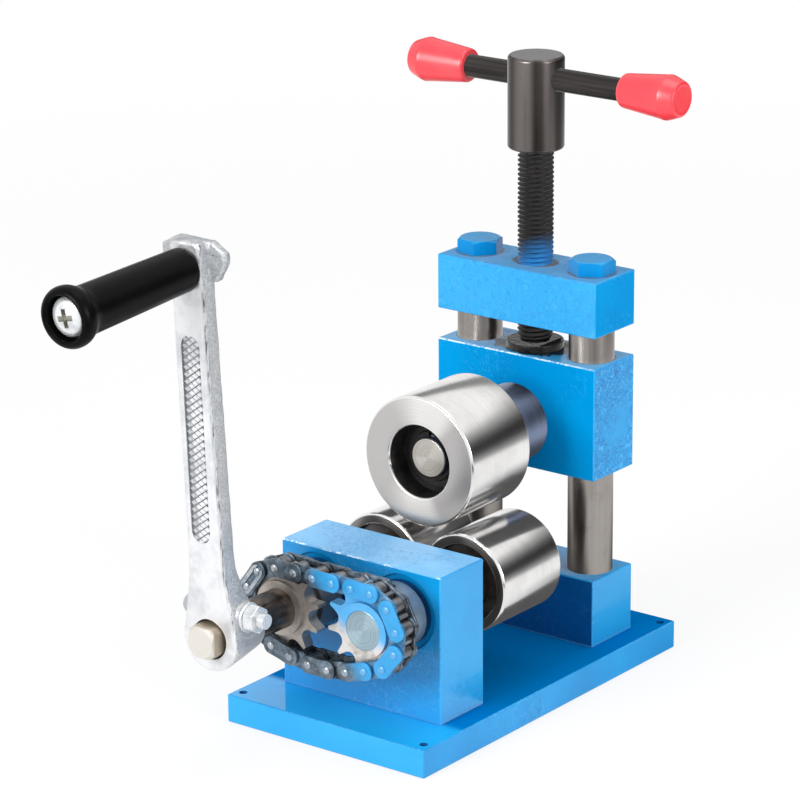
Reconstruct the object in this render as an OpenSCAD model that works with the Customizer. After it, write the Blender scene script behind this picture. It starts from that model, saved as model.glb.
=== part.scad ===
// Ring bending machine: two chain-driven lower rollers, a free upper roller on a screw-fed carriage.
// Millimetres. X runs across the machine, Y from the crank to the rear, Z up.
// The origin is the centre of the base plate's underside.

/* [Base plate] */
// Thickness of the base plate
base_t = 12; // [9:0.5:20]
// Length of the base plate, front to rear
base_l = 177; // [165:1:240]
// How far the base plate stands out beyond the blocks on each side
base_margin = 10; // [8:0.5:30]
// Diameter of the four corner holes
base_hole_d = 3.6; // [2:0.1:5]
// Corner hole centre, from the side edge
base_hole_side = 4; // [3.5:0.1:7]
// Corner hole centre, from the front or rear edge
base_hole_end = 5.3; // [3.5:0.1:10]
// Diameter of the countersunk block screws
block_screw_d = 6; // [4:0.5:8]
// How far the block screws reach into the blocks
block_screw_reach = 12; // [8:1:16]

/* [Blocks] */
// Depth of every block, front to rear
block_t = 28.7; // [26:0.1:36]
// Front block's front face, from the base plate's front edge
front_setback = 24.5; // [22:0.5:40]
// Rear block's rear face, from the base plate's rear edge
rear_setback = 18.3; // [5:0.1:24]
// Height of the rear block
rear_block_h = 29.3; // [20:0.1:40]
// Height of the carriage block
carriage_h = 48.3; // [44:0.1:70]
// Height of the bridge bar
bridge_h = 23.5; // [16:0.5:40]
// Wall between a bearing seat and the block's side
bearing_side_wall = 2.8; // [1.5:0.1:10]
// Wall between a bearing seat and the front block's top
bearing_top_wall = 2.2; // [1.2:0.1:10]

/* [Rollers] */
// Diameter of the two lower rollers
lower_roller_d = 41.8; // [38:0.1:50]
// Gap between the two lower rollers
lower_roller_gap = 0.6; // [0.4:0.1:4]
// Diameter of the upper roller
upper_roller_d = 54.8; // [44:0.1:60]
// Length of every roller
roller_l = 39.5; // [34:0.5:44]
// Gap between the upper roller and each lower roller, as set
nip = 4.2; // [1:0.1:8]
// Chamfer on the rollers' edges
roller_edge = 0.8; // [0.3:0.1:2]
// Diameter of the recess in each end of a lower roller
lower_recess_d = 32.6; // [26:0.1:35]
// Depth of that recess
lower_recess = 4; // [2:0.5:8]
// Gap between the front block and the lower rollers
lower_standoff = 11.7; // [6:0.1:16]

/* [Lower shafts] */
// Height of the lower shafts above the base plate
shaft_h = 44.1; // [38:0.1:60]
// Diameter of the shafts in front of the bearings
shaft_d = 16.5; // [15.5:0.1:18]
// Diameter of the shafts in the bearings and rollers
journal_d = 15; // [12:0.5:15]
// Outer diameter of the lower bearings
bearing_od = 32; // [28:0.5:36]
// Width of the lower bearings
bearing_w = 9; // [7:0.5:10]
// How deep the lower bearings lie in the block
bearing_sink = 1.2; // [0.5:0.1:2.5]
// Outer diameter of the sleeves between bearing and roller
sleeve_d = 20; // [18:0.5:24]

/* [Chain drive] */
// Pitch of the chain
chain_pitch = 9.525; // [9:0.005:10]
// Teeth on each sprocket
sprocket_teeth = 11; // [11:2:13]
// Distance between the inner plates
chain_inner_w = 5.72; // [4.5:0.01:7]
// Thickness of a chain plate
plate_t = 1.2; // [0.8:0.1:1.6]
// Height of a chain plate
plate_h = 7.8; // [6.6:0.1:8.4]
// Diameter of the chain rollers
chain_roller_d = 6.35; // [5.5:0.05:6.6]
// Diameter of the chain pins
chain_pin_d = 3.28; // [2.5:0.01:3.8]
// How far a chain pin stands proud of the outer plate
pin_proud = 0.8; // [0.4:0.1:1.5]
// Chain's middle plane, behind the base plate's front edge
chain_setback = 3.3; // [0:0.1:6]
// Angle of the first chain pin past the top of the right sprocket
chain_phase = 14; // [4:1:26]
// Diameter of the sprocket's front boss
boss_d = 22.8; // [21:0.1:23]
// How far the front boss stands out from the chain's middle plane
boss_out = 4.5; // [3.5:0.1:6]
// Diameter of the sprocket's rear hub
rear_hub_d = 27; // [25:0.1:29]
// Gap between the rear hub and the front block
hub_gap = 2; // [1:0.1:6]
// Diameter of the set screw in each rear hub
set_screw_d = 5; // [3:0.5:6]

/* [Crank] */
// Length of the crank, shaft to grip
crank_l = 151.9; // [130:0.1:180]
// Turn of the crank to the left of upright
crank_tilt = 0.5; // [0:0.5:20]
// Lean of the arm towards the front, out from the shaft
crank_lean = 3; // [0:0.5:6]
// Distance of the crank's front face in front of the base plate
crank_front = 43.7; // [41:0.1:60]
// Depth of the arm
crank_t = 9; // [8:0.1:12]
// Width of the arm near the shaft
crank_w_low = 17; // [15:0.1:22]
// Width of the arm at its top
crank_w_high = 14.7; // [13:0.1:20]
// How far the arm reaches past the grip's axis
crank_top = 10.4; // [10:0.1:14]
// Outer diameter of the eye on the shaft
eye_d = 26.4; // [25:0.1:32]
// Diameter of the eye's rear end
eye_rear_d = 20.2; // [19:0.1:24]
// Depth of the eye along the shaft
eye_l = 22; // [20:0.5:30]
// Width of the head behind the arm's top
head_w = 31; // [26:0.5:36]
// Distance across the flats on the shaft's crank end
shaft_flats = 13.5; // [12.5:0.1:14]
// How far the shaft stands proud of the eye
shaft_proud = 6; // [2:0.5:10]
// Diameter of the cotter pin
cotter_d = 7; // [6:0.5:8]
// Cotter pin, behind the crank's front face
cotter_depth = 8.7; // [8:0.1:12]
// How far the cotter's boss reaches to the left of the shaft's axis
boss_left = 22.5; // [18:0.5:26]
// How far the cotter's boss reaches to the right of the shaft's axis
boss_right = 12.3; // [11:0.1:15]
// Width of the sunk panel on the arm
panel_w = 9.2; // [5:0.1:11]
// Depth of the sunk panel
panel_sink = 0.8; // [0.3:0.1:2]

/* [Grip] */
// Length of the grip
grip_l = 68.9; // [50:0.1:110]
// Diameter of the grip next to the arm
grip_root_d = 17.4; // [15:0.1:21]
// Diameter of the grip before its flared end
grip_d = 19.2; // [17:0.1:22]
// Diameter of the flared end
grip_end_d = 24.2; // [22.5:0.1:30]
// Length of the flared end
grip_flare_l = 11; // [9:0.5:16]
// Depth of the recess for the bolt head
grip_recess = 5; // [4.5:0.1:8]
// Diameter of the grip bolt
grip_bolt_d = 8; // [6:0.5:9]

/* [Upper roller] */
// Diameter of the spindle in the roller
spindle_d = 17; // [14:0.5:18]
// Diameter of the spindle's tail in the carriage
spindle_tail_d = 20; // [18:0.5:24]
// Diameter of the wide collar
collar_d = 33; // [28:0.5:38]
// Length of the wide collar
collar_l = 26.6; // [20:0.1:34]
// Height of the spindle above the carriage's underside
spindle_h = 19; // [17:0.5:24]
// Outer diameter of the upper bearings
upper_bearing_od = 30; // [27:0.5:34]
// Width of the upper bearings
upper_bearing_w = 7; // [5:0.5:8]
// How far the spindle's end lies behind the roller's face
spindle_end = 6.2; // [2:0.1:8]

/* [Posts and bridge] */
// Diameter of the guide posts
post_d = 19; // [17:0.5:21]
// Post centre, from the blocks' side
post_edge = 11.5; // [11:0.1:14]
// Diameter of the bridge bolts
bridge_bolt_d = 10; // [8:0.5:12]
// Distance across the flats of the bridge bolts
bridge_bolt_flats = 17; // [15:0.5:19]
// Height of the bridge bolts' heads
bridge_bolt_head = 6; // [4:0.1:8]
// How far the bridge bolts reach into the posts
bridge_bolt_reach = 20; // [10:1:26]

/* [Screw and handle] */
// Diameter of the lead screw
screw_d = 15; // [14:0.5:17]
// Pitch of the thread
thread_pitch = 2; // [1.5:0.1:2.5]
// Length of thread between the bridge and the hub
screw_show = 48.5; // [30:0.5:70]
// Room left above the carriage for raising it
travel_up = 10; // [6:0.5:30]
// Diameter of the gland's flange
gland_d = 24; // [22:0.5:28]
// Thickness of the gland's flange
gland_t = 3; // [2:0.1:6]
// Height of the thrust collar at the screw's end
thrust_h = 6; // [4:0.5:8]
// Diameter of the handle hub
hub_d = 23.5; // [20:0.1:30]
// Height of the handle hub
hub_h = 39; // [36:0.5:50]
// Diameter of the cross bar
bar_d = 9.5; // [7:0.1:11]
// Cross bar, below the top of the hub
bar_drop = 9.1; // [8:0.1:12]
// Length of bar between the caps
bar_show = 76.9; // [60:0.1:110]
// How far the cross bar has slid to the right
bar_shift = 5.2; // [0:0.1:10]
// Length of a cap
cap_l = 28; // [22:0.5:44]
// Diameter of a cap at its inner end
cap_small_d = 14.2; // [13:0.1:16]
// Largest diameter of a cap
cap_large_d = 18.8; // [17:0.1:22]
// Diameter of a cap's outer face
cap_end_d = 13.5; // [11:0.1:16]
// Length of a cap's rounded end
cap_nose = 6.5; // [4:0.5:10]

/* [Hidden] */
$fn = 64;

// Clearances: a seat that stays put, a running fit, and faces that pass each other
seat = 0.02;
run = 0.05;
pass = 0.3;
// Past-the-face length of every cutter
over = 1;

// Places of the main pieces
shaft_spacing = lower_roller_d + lower_roller_gap;
shaft_x = shaft_spacing / 2;
shaft_z = base_t + shaft_h;
block_w = shaft_spacing + bearing_od + 2 * bearing_side_wall;
base_w = block_w + 2 * base_margin;
front_edge = -base_l / 2;
front_block_y = front_edge + front_setback;
front_block_back = front_block_y + block_t;
front_block_top = shaft_z + bearing_od / 2 + bearing_top_wall;
rear_block_y = base_l / 2 - rear_setback - block_t;
column_y = rear_block_y + block_t / 2;
post_x = block_w / 2 - post_edge;
upper_z = shaft_z + sqrt(pow((upper_roller_d + lower_roller_d) / 2 + nip, 2) - pow(shaft_x, 2));
carriage_z = upper_z - spindle_h;
carriage_top = carriage_z + carriage_h;
bridge_z = carriage_top + gland_t + travel_up;
bridge_top = bridge_z + bridge_h;
hub_z = bridge_top + screw_show;
hub_top = hub_z + hub_h;
bar_z = hub_top - bar_drop;

// Block screws
screw_head_d = 2 * block_screw_d;
screw_head_h = block_screw_d / 2;
rear_screw_x = (post_x - post_d / 2) / 2;

// Lower shafts and rollers
lower_y = front_block_back + lower_standoff;
lower_back = lower_y + roller_l;
front_bearing_y = front_block_y + bearing_sink;
rear_bearing_y = front_block_back - bearing_sink - bearing_w;
bearing_mid_d = bearing_od - 4;
ring_t = 1.1;
ring_wall = 2.2;
lower_hub_back = lower_back - lower_recess;
journal_end = lower_hub_back + ring_t + 1.5;

// Rolling elements of a bearing, from its bore, rim and width
shield_t = 0.6;
function race(bore, rim) = 0.3 * (rim - bore) / 2;
function ball(bore, rim) = 0.56 * (rim - bore) / 2;
balls = 8;

// Sprockets and chain
chain_y = front_edge + chain_setback;
sprocket_r = chain_pitch / (2 * sin(180 / sprocket_teeth));
tooth_step = 360 / sprocket_teeth;
tip_r = sprocket_r + 0.22 * chain_pitch;
tooth_w = 0.91 * chain_inner_w;
tooth_seat_r = chain_roller_d / 2 + 0.12;
gap_in = tooth_seat_r * cos(60);
gap_low = tooth_seat_r * sin(60);
gap_half = gap_low + (tip_r + over - sprocket_r + gap_in) * tan(30);
inner_y = chain_inner_w / 2;
outer_y = inner_y + plate_t + 0.1;
pin_half = outer_y + plate_t + pin_proud;
clip_t = 0.6;
clip_h = 0.75 * plate_h;
sprocket_front = chain_y - boss_out;
rear_hub_y = chain_y + pin_half + 0.5;
hub_back = front_block_y - hub_gap;
set_screw_y = (rear_hub_y + hub_back) / 2;
wrap_links = floor(sprocket_teeth / 2);
top_links = ceil((shaft_spacing + sprocket_r * sin(chain_phase)) / chain_pitch);

// A pin on either sprocket, at an angle outward from the top
function right_pin(a) = [shaft_x + sprocket_r * sin(a), shaft_z + sprocket_r * cos(a)];
function left_pin(a) = [-shaft_x - sprocket_r * sin(a), shaft_z + sprocket_r * cos(a)];
// The left sprocket's first angle, at which the upper run is straight and a whole number of links
function top_reach(a) = norm(right_pin(chain_phase) - left_pin(a)) / chain_pitch;
function solve_top(low, high, n) =
    let (mid = (low + high) / 2)
    n == 0 ? mid : top_reach(mid) < top_links ? solve_top(mid, high, n - 1) : solve_top(low, mid, n - 1);
left_phase = solve_top(-20, 80, 40);
// The lower run: links that turn by equal angles and hang in an arc
low_start = right_pin(chain_phase + wrap_links * tooth_step);
low_end = left_pin(left_phase + wrap_links * tooth_step);
low_span = norm(low_end - low_start) / chain_pitch;
low_links = top_links + 2 * ceil((low_span - top_links) / 2);
low_dir = atan2(low_end[1] - low_start[1], low_end[0] - low_start[0]) + 360;
function low_chord(turn) = sin(low_links * turn / 2) / sin(turn / 2);
function solve_low(low, high, n) =
    let (mid = (low + high) / 2)
    n == 0 ? mid : low_chord(mid) > low_span ? solve_low(mid, high, n - 1) : solve_low(low, mid, n - 1);
low_turn = solve_low(0.01, 300 / low_links, 40);
function low_heading(k) = low_dir + ((low_links - 1) / 2 - k) * low_turn;
function low_pin(k) =
    k == 0 ? low_start : low_pin(k - 1) + chain_pitch * [cos(low_heading(k - 1)), sin(low_heading(k - 1))];
function top_pin(k) =
    left_pin(left_phase) + (right_pin(chain_phase) - left_pin(left_phase)) * k / top_links;
pins = concat(
    [for (k = [0 : wrap_links]) right_pin(chain_phase + k * tooth_step)],
    [for (k = [1 : 1 : low_links - 1]) low_pin(k)],
    [for (k = [wrap_links : -1 : 0]) left_pin(left_phase + k * tooth_step)],
    [for (k = [1 : 1 : top_links - 1]) top_pin(k)]
);
links = len(pins);
// The joining link lies on the upper left of the drive sprocket; outer links have odd numbers
joining_link = 2 * floor((wrap_links + low_links + wrap_links / 2) / 2) + 1;

// Crank
crank_y = front_edge - crank_front;
eye_bore_d = shaft_d + 0.2;
eye_rim = 3;
cotter_flat = shaft_flats / 2 + seat;
cotter_z = cotter_flat + cotter_d / 2 - 1;
cotter_boss_d = cotter_d + 5;
cotter_thread_d = cotter_d - 1;
cotter_flats = 10;
cotter_nut_h = 5;
cotter_washer_t = 1.2;
cotter_stub = 3.5;
flare_z = 31;
head_front = 5.5;
panel_low = 46.4;
panel_high = crank_l - 31.5;
grip_nut_flats = 1.63 * grip_bolt_d;
grip_nut_h = 0.8 * grip_bolt_d;
grip_head_d = 1.95 * grip_bolt_d;
grip_head_h = 3.6;
grip_recess_d = grip_head_d + 2;
grip_floor = grip_l - grip_recess;

// Upper roller and spindle
upper_back = rear_block_y - collar_l - 0.4;
upper_y = upper_back - roller_l;
upper_rear_bearing_y = upper_back - 0.5 - upper_bearing_w;
spindle_front = upper_y + spindle_end;
spindle_land = 2.7;
upper_front_bearing_y = spindle_front + spindle_land + ring_t;
upper_mid_d = upper_bearing_od - 4;
spindle_shoulder_d = spindle_d + 4;

// Screw end
screw_neck_d = screw_d - 3;
screw_stub_d = screw_d - 5;
thrust_d = screw_d + 2;
gland_body_d = screw_d + 5;
pocket_floor_z = upper_z + spindle_tail_d / 2 + 2.3;
thrust_z = pocket_floor_z + pass;
gland_z = thrust_z + thrust_h + pass;
thread_z = carriage_top + gland_t + 0.5;
thread_depth = 0.3 * thread_pitch * 2;
spigot_l = 0.5 * hub_h;

// Handle
bar_half = bar_show / 2;
cap_wall = 3;
hub_edge = 0.6;

// Colours
blue = [0.06, 0.52, 0.88];
steel = [0.75, 0.75, 0.77];
ground = [0.56, 0.53, 0.5];
black = [0.13, 0.13, 0.14];
red = [0.95, 0.32, 0.34];
silver = [0.83, 0.84, 0.85];
tan_steel = [0.66, 0.58, 0.5];
chain_grey = [0.33, 0.38, 0.42];

// Extrudes an outline in X and Z from y, for a depth t
module slab(y, t) {
    translate([0, y + t, 0]) rotate([90, 0, 0]) linear_extrude(t) children();
}
// Puts what is drawn along Z at an axis parallel to Y
module along_y(x, y, z) {
    translate([x, y, z]) rotate([-90, 0, 0]) children();
}
// Puts what is drawn along Z at an axis parallel to X
module along_x(x, y, z) {
    translate([x, y, z]) rotate([0, 90, 0]) children();
}
module tube(outer_d, inner_d, l) {
    difference() {
        cylinder(d = outer_d, h = l);
        translate([0, 0, -over]) cylinder(d = inner_d, h = l + 2 * over);
    }
}
// Six-sided prism with its corners chamfered at the top
module hex_head(flats, h) {
    intersection() {
        cylinder(d = flats / cos(30), h = h, $fn = 6);
        cylinder(r1 = flats / 2 + 2 * h, r2 = 0.95 * flats / 2, h = h);
    }
}
module hex_nut(flats, bore_d, h) {
    difference() {
        intersection() {
            cylinder(d = flats / cos(30), h = h, $fn = 6);
            cylinder(r1 = flats / 2 + 2 * h, r2 = 0.95 * flats / 2, h = h);
            cylinder(r2 = flats / 2 + 2 * h, r1 = 0.95 * flats / 2, h = h);
        }
        translate([0, 0, -over]) cylinder(d = bore_d, h = h + 2 * over);
    }
}
// A shaft retaining ring, open at the top
module retaining_ring(bore_d) {
    difference() {
        cylinder(d = bore_d + 2 * ring_wall, h = ring_t);
        translate([0, 0, -over]) cylinder(d = bore_d, h = ring_t + 2 * over);
        translate([-1.5, -bore_d, -over]) cube([3, bore_d, ring_t + 2 * over]);
    }
}

// Bearings, drawn along Z from their front face
module bearing_outer(bore, rim, w) {
    difference() {
        tube(rim - 2 * seat, rim - 2 * race(bore, rim), w);
        ball_groove(bore, rim, w);
    }
}
module bearing_inner(bore, rim, w) {
    difference() {
        tube(bore + 2 * race(bore, rim), bore + 2 * seat, w);
        ball_groove(bore, rim, w);
    }
}
module ball_groove(bore, rim, w) {
    translate([0, 0, w / 2]) rotate_extrude() translate([(bore + rim) / 4, 0])
        circle(d = ball(bore, rim) + 2 * run);
}
module bearing_ball_row(bore, rim, w) {
    for (i = [0 : balls - 1])
        rotate([0, 0, i * 360 / balls]) translate([(bore + rim) / 4, 0, w / 2]) sphere(d = ball(bore, rim));
}
module bearing_shield_pair(bore, rim, w) {
    for (z = [0.2, w - 0.2 - shield_t])
        translate([0, 0, z]) tube(rim - 2 * race(bore, rim) - 2 * seat, bore + 2 * race(bore, rim) + 2 * pass, shield_t);
}
module at_lower_bearings(x) {
    for (y = [front_bearing_y, rear_bearing_y]) along_y(x, y, shaft_z) children();
}
module at_upper_bearings() {
    for (y = [upper_front_bearing_y, upper_rear_bearing_y]) along_y(0, y, upper_z) children();
}

// Frame
module at_block_screws() {
    for (side = [-1, 1]) {
        translate([side * shaft_x, front_block_y + block_t / 2, 0]) children();
        translate([side * rear_screw_x, column_y, 0]) children();
    }
}
module base_plate() {
    color(blue) difference() {
        translate([-base_w / 2, front_edge, 0]) cube([base_w, base_l, base_t]);
        for (sx = [-1, 1], sy = [-1, 1])
            translate([sx * (base_w / 2 - base_hole_side), sy * (base_l / 2 - base_hole_end), -over])
                cylinder(d = base_hole_d, h = base_t + 2 * over);
        at_block_screws() {
            translate([0, 0, -over]) cylinder(d = block_screw_d + 0.4, h = base_t + 2 * over);
            translate([0, 0, -seat]) cylinder(d1 = screw_head_d + 0.4, d2 = block_screw_d + 0.4, h = screw_head_h);
        }
    }
}
module block_screws() {
    color(ground) at_block_screws() {
        translate([0, 0, 0.2]) cylinder(d1 = screw_head_d - 0.4, d2 = block_screw_d, h = screw_head_h);
        translate([0, 0, 0.2]) cylinder(d = block_screw_d, h = base_t + block_screw_reach - 0.5);
    }
}
module screw_holes() {
    at_block_screws() translate([0, 0, base_t - over]) cylinder(d = block_screw_d + 2 * seat, h = block_screw_reach + over);
}
module front_bearing_block() {
    color(blue) difference() {
        translate([-block_w / 2, front_block_y, base_t]) cube([block_w, block_t, front_block_top - base_t]);
        for (x = [-shaft_x, shaft_x]) {
            along_y(x, front_block_y - over, shaft_z) cylinder(d = bearing_od, h = bearing_sink + bearing_w + over);
            along_y(x, rear_bearing_y, shaft_z) cylinder(d = bearing_od, h = bearing_sink + bearing_w + over);
            along_y(x, front_block_y, shaft_z) cylinder(d = bearing_mid_d, h = block_t);
        }
        screw_holes();
    }
}
module rear_post_block() {
    color(blue) difference() {
        translate([-block_w / 2, rear_block_y, base_t]) cube([block_w, block_t, rear_block_h]);
        for (x = [-post_x, post_x])
            translate([x, column_y, base_t - over]) cylinder(d = post_d + 2 * seat, h = rear_block_h + 2 * over);
        screw_holes();
    }
}
module guide_post(x) {
    color(ground) difference() {
        translate([x, column_y, base_t]) cylinder(d = post_d, h = bridge_z - base_t);
        translate([x, column_y, bridge_z - bridge_bolt_reach - over])
            cylinder(d = bridge_bolt_d + 2 * seat, h = bridge_bolt_reach + 2 * over);
    }
}
module guide_post_left() {
    guide_post(-post_x);
}
module guide_post_right() {
    guide_post(post_x);
}
module bridge_bar() {
    color(blue) difference() {
        translate([-block_w / 2, rear_block_y, bridge_z]) cube([block_w, block_t, bridge_h]);
        translate([0, column_y, bridge_z - over]) cylinder(d = screw_d + 2 * run, h = bridge_h + 2 * over);
        for (x = [-post_x, post_x])
            translate([x, column_y, bridge_z - over]) cylinder(d = bridge_bolt_d + 0.4, h = bridge_h + 2 * over);
    }
}
module bridge_bolts() {
    color(blue) for (x = [-post_x, post_x]) {
        translate([x, column_y, bridge_top]) rotate([0, 0, x < 0 ? -10 : 30]) hex_head(bridge_bolt_flats, bridge_bolt_head);
        translate([x, column_y, bridge_z - bridge_bolt_reach]) cylinder(d = bridge_bolt_d, h = bridge_bolt_reach + bridge_h);
    }
}
module lower_bearing_outer_rings() {
    color(steel) for (x = [-shaft_x, shaft_x]) at_lower_bearings(x) bearing_outer(journal_d, bearing_od, bearing_w);
}
module lower_bearing_balls() {
    color(steel) for (x = [-shaft_x, shaft_x]) at_lower_bearings(x) bearing_ball_row(journal_d, bearing_od, bearing_w);
}
module lower_bearing_shields() {
    color(ground) for (x = [-shaft_x, shaft_x]) at_lower_bearings(x) bearing_shield_pair(journal_d, bearing_od, bearing_w);
}

// Chain
module stadium(l, h) {
    circle(d = h);
    translate([l, 0]) circle(d = h);
    translate([0, -h / 2]) square([l, h]);
}
// Puts an outline drawn along X, from one pin to the next, at link i
module at_link(i) {
    from = pins[i];
    to = pins[(i + 1) % links];
    translate(from) rotate(atan2(to[1] - from[1], to[0] - from[0])) children();
}
module link_plate(i) {
    at_link(i) difference() {
        stadium(chain_pitch, plate_h);
        for (x = [0, chain_pitch]) translate([x, 0]) circle(d = chain_pin_d + 2 * seat);
    }
}
module chain_outer_plates() {
    color(chain_grey) for (i = [1 : 2 : links - 1]) {
        slab(chain_y - outer_y - plate_t, plate_t) link_plate(i);
        slab(chain_y + outer_y, plate_t) link_plate(i);
    }
}
module chain_inner_plates() {
    color(chain_grey) for (i = [0 : 2 : links - 1]) {
        slab(chain_y - inner_y - plate_t, plate_t) link_plate(i);
        slab(chain_y + inner_y, plate_t) link_plate(i);
    }
}
module chain_pins() {
    color(steel) for (p = pins) along_y(p[0], chain_y - pin_half, p[1]) cylinder(d = chain_pin_d, h = 2 * pin_half);
}
module chain_rollers() {
    color(ground) for (p = pins)
        along_y(p[0], chain_y - inner_y + run, p[1]) tube(chain_roller_d, chain_pin_d + 2 * seat, chain_inner_w - 2 * run);
}
module chain_clip() {
    color(steel) slab(chain_y - outer_y - plate_t - clip_t - seat, clip_t) at_link(joining_link) difference() {
        stadium(chain_pitch, clip_h);
        for (x = [0, chain_pitch]) translate([x, 0]) circle(d = chain_pin_d + 2 * seat);
        translate([0, -0.22 * clip_h]) square([2 * chain_pitch, 0.44 * clip_h]);
    }
}

// Sprockets, with a tooth gap at the given angle
module sprocket_outline(angle) {
    difference() {
        circle(r = tip_r);
        for (i = [0 : sprocket_teeth - 1]) rotate(angle + i * tooth_step) {
            translate([sprocket_r, 0]) circle(r = tooth_seat_r);
            polygon([
                [sprocket_r - gap_in, -gap_low], [tip_r + over, -gap_half],
                [tip_r + over, gap_half], [sprocket_r - gap_in, gap_low]
            ]);
        }
    }
}
module sprocket(x, angle) {
    color(tan_steel) difference() {
        union() {
            slab(chain_y - tooth_w / 2, tooth_w) translate([x, shaft_z]) sprocket_outline(angle);
            along_y(x, sprocket_front, shaft_z) cylinder(d = boss_d, h = boss_out);
            along_y(x, chain_y, shaft_z) cylinder(d = boss_d, h = hub_back - chain_y);
            along_y(x, rear_hub_y, shaft_z) cylinder(d = rear_hub_d, h = hub_back - rear_hub_y);
        }
        along_y(x, sprocket_front - over, shaft_z) cylinder(d = shaft_d + 2 * seat, h = hub_back - sprocket_front + 2 * over);
        translate([x, set_screw_y, shaft_z]) cylinder(d = set_screw_d + 2 * seat, h = rear_hub_d);
    }
}
module set_screw(x) {
    color(black) translate([x, set_screw_y, shaft_z + shaft_d / 2 + 0.1]) difference() {
        cylinder(d = set_screw_d, h = (rear_hub_d - shaft_d) / 2 - 0.4);
        translate([0, 0, (rear_hub_d - shaft_d) / 4]) cylinder(d = set_screw_d / 2, h = rear_hub_d, $fn = 6);
    }
}
module drive_sprocket() {
    sprocket(-shaft_x, 90 + left_phase);
}
module driven_sprocket() {
    sprocket(shaft_x, 90 - chain_phase);
}
module drive_set_screw() {
    set_screw(-shaft_x);
}
module driven_set_screw() {
    set_screw(shaft_x);
}

// Lower shafts and rollers
module journal(x) {
    difference() {
        along_y(x, front_bearing_y - over, shaft_z) cylinder(d = journal_d, h = journal_end - front_bearing_y + over);
        along_y(x, lower_hub_back, shaft_z) tube(journal_d + over, journal_d - 1, ring_t);
    }
}
module drive_shaft() {
    square_y = crank_y - shaft_proud;
    square_l = shaft_proud + eye_l + 0.5;
    color(ground) union() {
        along_y(-shaft_x, square_y + square_l, shaft_z) cylinder(d = shaft_d, h = front_bearing_y - square_y - square_l);
        journal(-shaft_x);
        intersection() {
            along_y(-shaft_x, square_y, shaft_z) cylinder(d = shaft_d, h = square_l + 0.1);
            along_y(-shaft_x, square_y, shaft_z) cylinder(r1 = shaft_flats / 2, r2 = shaft_flats / 2 + square_l, h = square_l);
            translate([-shaft_x, square_y + square_l / 2, shaft_z]) rotate([0, -crank_tilt, 0])
                cube([shaft_flats, square_l + 0.2, shaft_flats], center = true);
        }
    }
}
module driven_shaft() {
    color(ground) union() {
        along_y(shaft_x, sprocket_front, shaft_z) cylinder(d = shaft_d, h = front_bearing_y - sprocket_front);
        journal(shaft_x);
    }
}
// Half section of a solid of revolution, as radius and distance from the front face
module lower_roller(x) {
    r = lower_roller_d / 2;
    bore_r = journal_d / 2 + seat;
    color(steel) along_y(x, lower_y, shaft_z) rotate_extrude() polygon([
        [bore_r, lower_recess], [lower_recess_d / 2, lower_recess], [lower_recess_d / 2, 0],
        [r - roller_edge, 0], [r, roller_edge], [r, roller_l - roller_edge], [r - roller_edge, roller_l],
        [lower_recess_d / 2, roller_l], [lower_recess_d / 2, roller_l - lower_recess],
        [bore_r, roller_l - lower_recess]
    ]);
}
module drive_roller() {
    lower_roller(-shaft_x);
}
module driven_roller() {
    lower_roller(shaft_x);
}
module sleeve(x) {
    y = rear_bearing_y + bearing_w;
    color(ground) along_y(x, y, shaft_z) tube(sleeve_d, journal_d + 2 * seat, lower_y + lower_recess - y);
}
module drive_sleeve() {
    sleeve(-shaft_x);
}
module driven_sleeve() {
    sleeve(shaft_x);
}
module lower_retaining_ring(x) {
    color(black) along_y(x, lower_hub_back, shaft_z) retaining_ring(journal_d - 1 + 2 * seat);
}
module drive_retaining_ring() {
    lower_retaining_ring(-shaft_x);
}
module driven_retaining_ring() {
    lower_retaining_ring(shaft_x);
}
module drive_bearing_inner_rings() {
    color(steel) at_lower_bearings(-shaft_x) bearing_inner(journal_d, bearing_od, bearing_w);
}
module driven_bearing_inner_rings() {
    color(steel) at_lower_bearings(shaft_x) bearing_inner(journal_d, bearing_od, bearing_w);
}

// Crank, drawn upright from the shaft's axis, with its front face at y = 0
module at_crank() {
    translate([-shaft_x, crank_y, shaft_z]) rotate([0, -crank_tilt, 0]) children();
}
// The arm leans forward from the shaft's axis
module at_arm() {
    at_crank() rotate([crank_lean, 0, 0]) children();
}
module crank_outline() {
    top = crank_l + crank_top;
    polygon([
        [1 - eye_d / 2, 0], [eye_d / 2 - 1, 0], [crank_w_low / 2, flare_z], [crank_w_high / 2, top - 2],
        [crank_w_high / 2 - 2, top], [2 - crank_w_high / 2, top], [-crank_w_high / 2, top - 2],
        [-crank_w_low / 2, flare_z]
    ]);
}
module head_outline() {
    half = head_w / 2;
    polygon([
        [-0.55 * half, crank_top], [0.55 * half, crank_top], [half, 0.6 * crank_top], [half, 0.25 * crank_top],
        [0.7 * half, -0.5 * crank_top], [-0.7 * half, -0.5 * crank_top], [-half, 0.25 * crank_top],
        [-half, 0.6 * crank_top]
    ]);
}
module cotter_boss() {
    r = cotter_boss_d / 2;
    along_x(-boss_left, cotter_depth, cotter_z) rotate_extrude() polygon([
        [0, 0], [0.5 * r, 0], [0.85 * r, 1.4], [r, 4.5], [r, boss_left + boss_right], [0, boss_left + boss_right]
    ]);
}
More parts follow.
